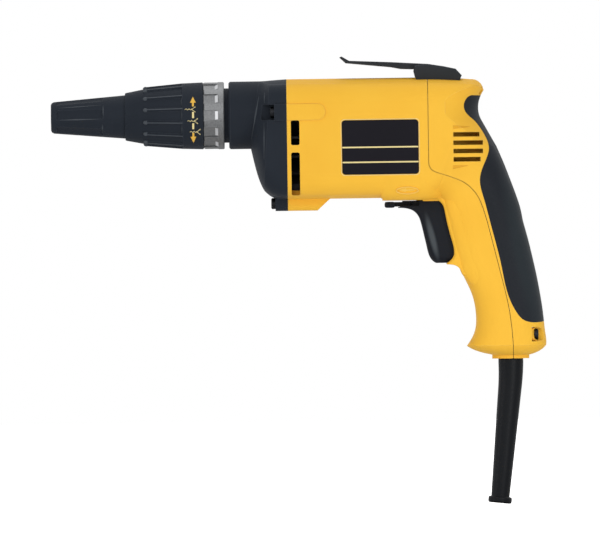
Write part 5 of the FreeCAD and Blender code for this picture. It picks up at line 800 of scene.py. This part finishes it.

# %% [markdown]
# ## Shallow flutes beside the louvres
# Above and below the louvres the cover has a shallow wedge-shaped flute that lies in shade. It
# could be cut into the cover, but its depth hardly shows and its shade does. So it is drawn as a
# thin film in a darker yellow, a painted shade.

# %% Two flutes on each side
FILM = 0.1
FLUTES = [
    ((452.5, 127.6), [(0, 0, 2.3), (10.2, 0.2, 0.2)]),
    ((452.7, 167.6), [(0, 0, 2.2), (9.0, 1.0, 0.2)]),
]
flutes = []
for pixel, rows in FLUTES:
    flutes.append(strip(rows, cuts=9))
    face_camera(flutes[-1], [x / MM for x in place_of(pixel)])
flute_film = lay_on(flutes, "louvre_flutes", frame["nodes"]["handle_cover"], FILM)
both_sides(flute_film, yellow_shade, "housing")
print("flutes", len(flute_film.data.polygons), "faces")

# %% [markdown]
# ## Painted highlights on edges of the black pieces
# Where the snout meets the bell, where the bell turns into its flat side, along the cone's flutes
# and at the ends of the collar's pockets, the edges catch the light as thin paler lines, painted
# here as highlights. The finish already pales every edge evenly, but these are paler still, so each
# gets a strip of its own. It is widest near its middle, drawn from one pixel of the photo's frame to
# another and laid on its piece.

# %% Painted highlight lines on each side
LINE_TIP, LINE_WIDEST_AT, LINE_HEIGHT = 0.1, 0.4, 0.06
# Each line has its two ends as pixels, and its greatest width in mm.
HIGHLIGHT_LINES = {
    "gear_case": [
        ((259.2, 95.5), (251.0, 141.5), 0.9), ((264.6, 93.0), (264.3, 104.5), 0.5),
        ((264.2, 123.0), (264.2, 160.0), 0.6),
    ],
    "nose_cone": [
        ((58.7, 108.4), (101.5, 105.4), 0.5), ((60.0, 120.3), (102.0, 119.2), 0.8),
        ((103.2, 105.5), (103.4, 117.0), 0.7), ((102.6, 124.5), (102.6, 133.5), 0.6),
    ],
    "depth_collar": [
        ((181.6, 97.5), (181.6, 106.8), 0.6), ((181.8, 110.6), (181.8, 120.8), 0.6),
        ((182.0, 124.8), (182.0, 134.4), 0.6),
    ],
}
for carrier, lines in HIGHLIGHT_LINES.items():
    pale_edges = []
    for start, end, width in lines:
        here, there = (Vector(place_of(pixel)) / MM for pixel in (start, end))
        run = there - here
        widest_at = run.length * LINE_WIDEST_AT
        rows = [(0, 0, LINE_TIP), (widest_at, 0, width), (run.length, 0, LINE_TIP)]
        pale_edges.append(strip(rows, cuts=12))
        face_camera(pale_edges[-1], here, math.atan2(run.y, run.x))
    near = lay_on(pale_edges, carrier + "_worn", frame["nodes"][carrier], LINE_HEIGHT)
    both_sides(near, black_highlight, "housing" if carrier == "gear_case" else carrier)
    print(near.name, len(near.data.polygons), "faces")

# %% [markdown]
# ## Painted shade behind the lower vents
# A black plate stands behind each lower vent, a painted shade that keeps the inside of the vent
# dark. It could be a mesh of wires, but behind so small a vent no wire would show. A bar with
# rounded edges is enough.

# %% Two plates of painted shade
SHADE_PLATE_CORNERS, SHADE_PLATE_ROUND = ((145.4, -17.7, -46.4), (152.4, -17.1, -42.4)), 0.2
vent_shade_plate = block("vent_shade_plate", *SHADE_PLATE_CORNERS)
round_off(SHADE_PLATE_ROUND, segments=2)
both_sides(vent_shade_plate, fan_nylon, "housing")
print("vent screen", len(vent_shade_plate.data.polygons), "faces")

# %% [markdown]
# ## Lines on the label plates
# Each side of the barrel has a bare plate of black film with two printed lines. They could be
# stripes in the film's material. Strips laid on the plate were chosen, because then the plates
# share one plain finish.

# %% Two lines on each plate
PRINT_WIDTH, PRINT_INSET, PRINT_THICK = 0.9, 0.1, 0.05
PRINT_HEIGHTS = (-20.8, -29.9)
plates = sorted(("label_plate_left", "label_plate_right"), key=lambda name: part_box(name)[0].y)
plate_low, plate_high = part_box(plates[0])
start, end = plate_low.x / MM + PRINT_INSET, plate_high.x / MM - PRINT_INSET
prints = []
for height in PRINT_HEIGHTS:
    prints.append(strip([(start, 0, PRINT_WIDTH), (end, 0, PRINT_WIDTH)], cuts=1))
    face_camera(prints[-1], (0, height))
label_lines = lay_on(prints, "label_lines", frame["nodes"][plates[0]], PRINT_THICK)
both_sides(label_lines, cream_ink, "housing")
print("label lines", len(label_lines.data.polygons), "faces")

# %% [markdown]
# ## Rims around the label plates
# Each plate lies in a shallow bed, and the bed's edge catches the light as a thin pale frame. A
# curve with a thickness could draw it, but a flat frame lies down on the round housing like any
# other mark. A plane a little larger than the plate gets rounded corners by a Bevel of its points.
# An Inset leaves the frame, and its inside is deleted.

# %% A rim around each plate
RIM_GAP, RIM_WIDTH, RIM_ROUND, RIM_HEIGHT = 0.3, 0.4, 2.2, 0.05
plate_middle, span = (plate_low + plate_high) / 2 / MM, (plate_high - plate_low) / MM
bpy.ops.object.select_all(action="DESELECT")
bpy.ops.mesh.primitive_plane_add(size=1)
rim = bpy.context.object
rim.scale = [(side + (RIM_GAP + RIM_WIDTH) * 2) * MM for side in (span.x, span.z)] + [1]
bpy.ops.object.transform_apply()
bpy.ops.object.mode_set(mode="EDIT")
bpy.ops.mesh.select_all(action="SELECT")
bpy.ops.mesh.bevel(offset=RIM_ROUND * MM, segments=5, affect="VERTICES")
bpy.ops.mesh.select_all(action="SELECT")
bpy.ops.mesh.inset(thickness=RIM_WIDTH * MM)
bpy.ops.mesh.delete(type="FACE")
bpy.ops.mesh.select_all(action="SELECT")
bpy.ops.mesh.subdivide(number_cuts=9)
bpy.ops.object.mode_set(mode="OBJECT")
face_camera(rim, (plate_middle.x, plate_middle.z))
label_rim = lay_on([rim], "label_rim", frame["nodes"]["motor_housing"], RIM_HEIGHT)
both_sides(label_rim, yellow_edge, "housing")
print("label rim", len(label_rim.data.polygons), "faces")

# %% [markdown]
# ## Raised arrow under the barrel
# Above the reversing lever the housing carries a raised oval with an arrow in it, for the direction
# of turning. It is part of the moulding, and being raised it catches the light, so it is painted a
# paler yellow, a painted highlight. A Boolean could join it to the belly. Laid on the belly like a
# mark, it follows the round by itself. The oval is a circle whose middle is taken out by Inset.

# %% Oval and arrow
OVAL_SPOT, OVAL_HALVES, OVAL_LINE = (216.5, -47.2), (6.9, 2.25), 0.6
SIGN_HEIGHT = 0.6
TURN_ARROW = [(4.4, 0, 0.7), (-0.8, 0, 0.7), (-0.85, 0, 2.3), (-2.6, 0, 1.4), (-4.9, 0, 0.15)]
bpy.ops.object.select_all(action="DESELECT")
bpy.ops.mesh.primitive_circle_add(vertices=56, radius=1, fill_type="NGON")
oval = bpy.context.object
oval.scale = [half * MM for half in OVAL_HALVES] + [1]
bpy.ops.object.transform_apply()
bpy.ops.object.mode_set(mode="EDIT")
bpy.ops.mesh.select_all(action="SELECT")
bpy.ops.mesh.inset(thickness=OVAL_LINE * MM)
bpy.ops.mesh.delete(type="FACE")
bpy.ops.object.mode_set(mode="OBJECT")
face_camera(oval, OVAL_SPOT)
arrow = strip(TURN_ARROW, cuts=3)
face_camera(arrow, OVAL_SPOT)
turn_sign = lay_on([oval, arrow], "turn_sign", belly, SIGN_HEIGHT)
both_sides(turn_sign, yellow_sign_highlight, "housing")
print("turn sign", len(turn_sign.data.polygons), "faces")

# %% [markdown]
# ## Copies of the two springs
# The trigger's spring and the clutch's spring are squeezed as their joints move. The record names
# both, and the end of each that stays in place. Each could be wound anew for every pose. Here a copy
# of each coil, with the spring wire finish and its joint's body, stands for the CAD one, which is
# hidden. A CAD mesh is loose triangles, so the corners of its copy are merged.

# %% Two springs
behaviour = frame["record"]["behaviour"]
for joint in behaviour["joints"]:
    for spring in joint.get("deforming_nodes", []):
        name, fixed = spring["node"], spring["fixed_end_x_m"]
        spring_coil = bpy.data.objects.new(name + "_coil", frame["nodes"][name].data.copy())
        bpy.context.collection.objects.link(spring_coil)
        choose([spring_coil])
        bpy.ops.object.mode_set(mode="EDIT")
        clean_up()
        body = next(body for body, names in behaviour["bodies"].items() if name in names)
        settle(spring_coil, spring_wire, body)
        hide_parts(name)
        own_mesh(spring_coil)
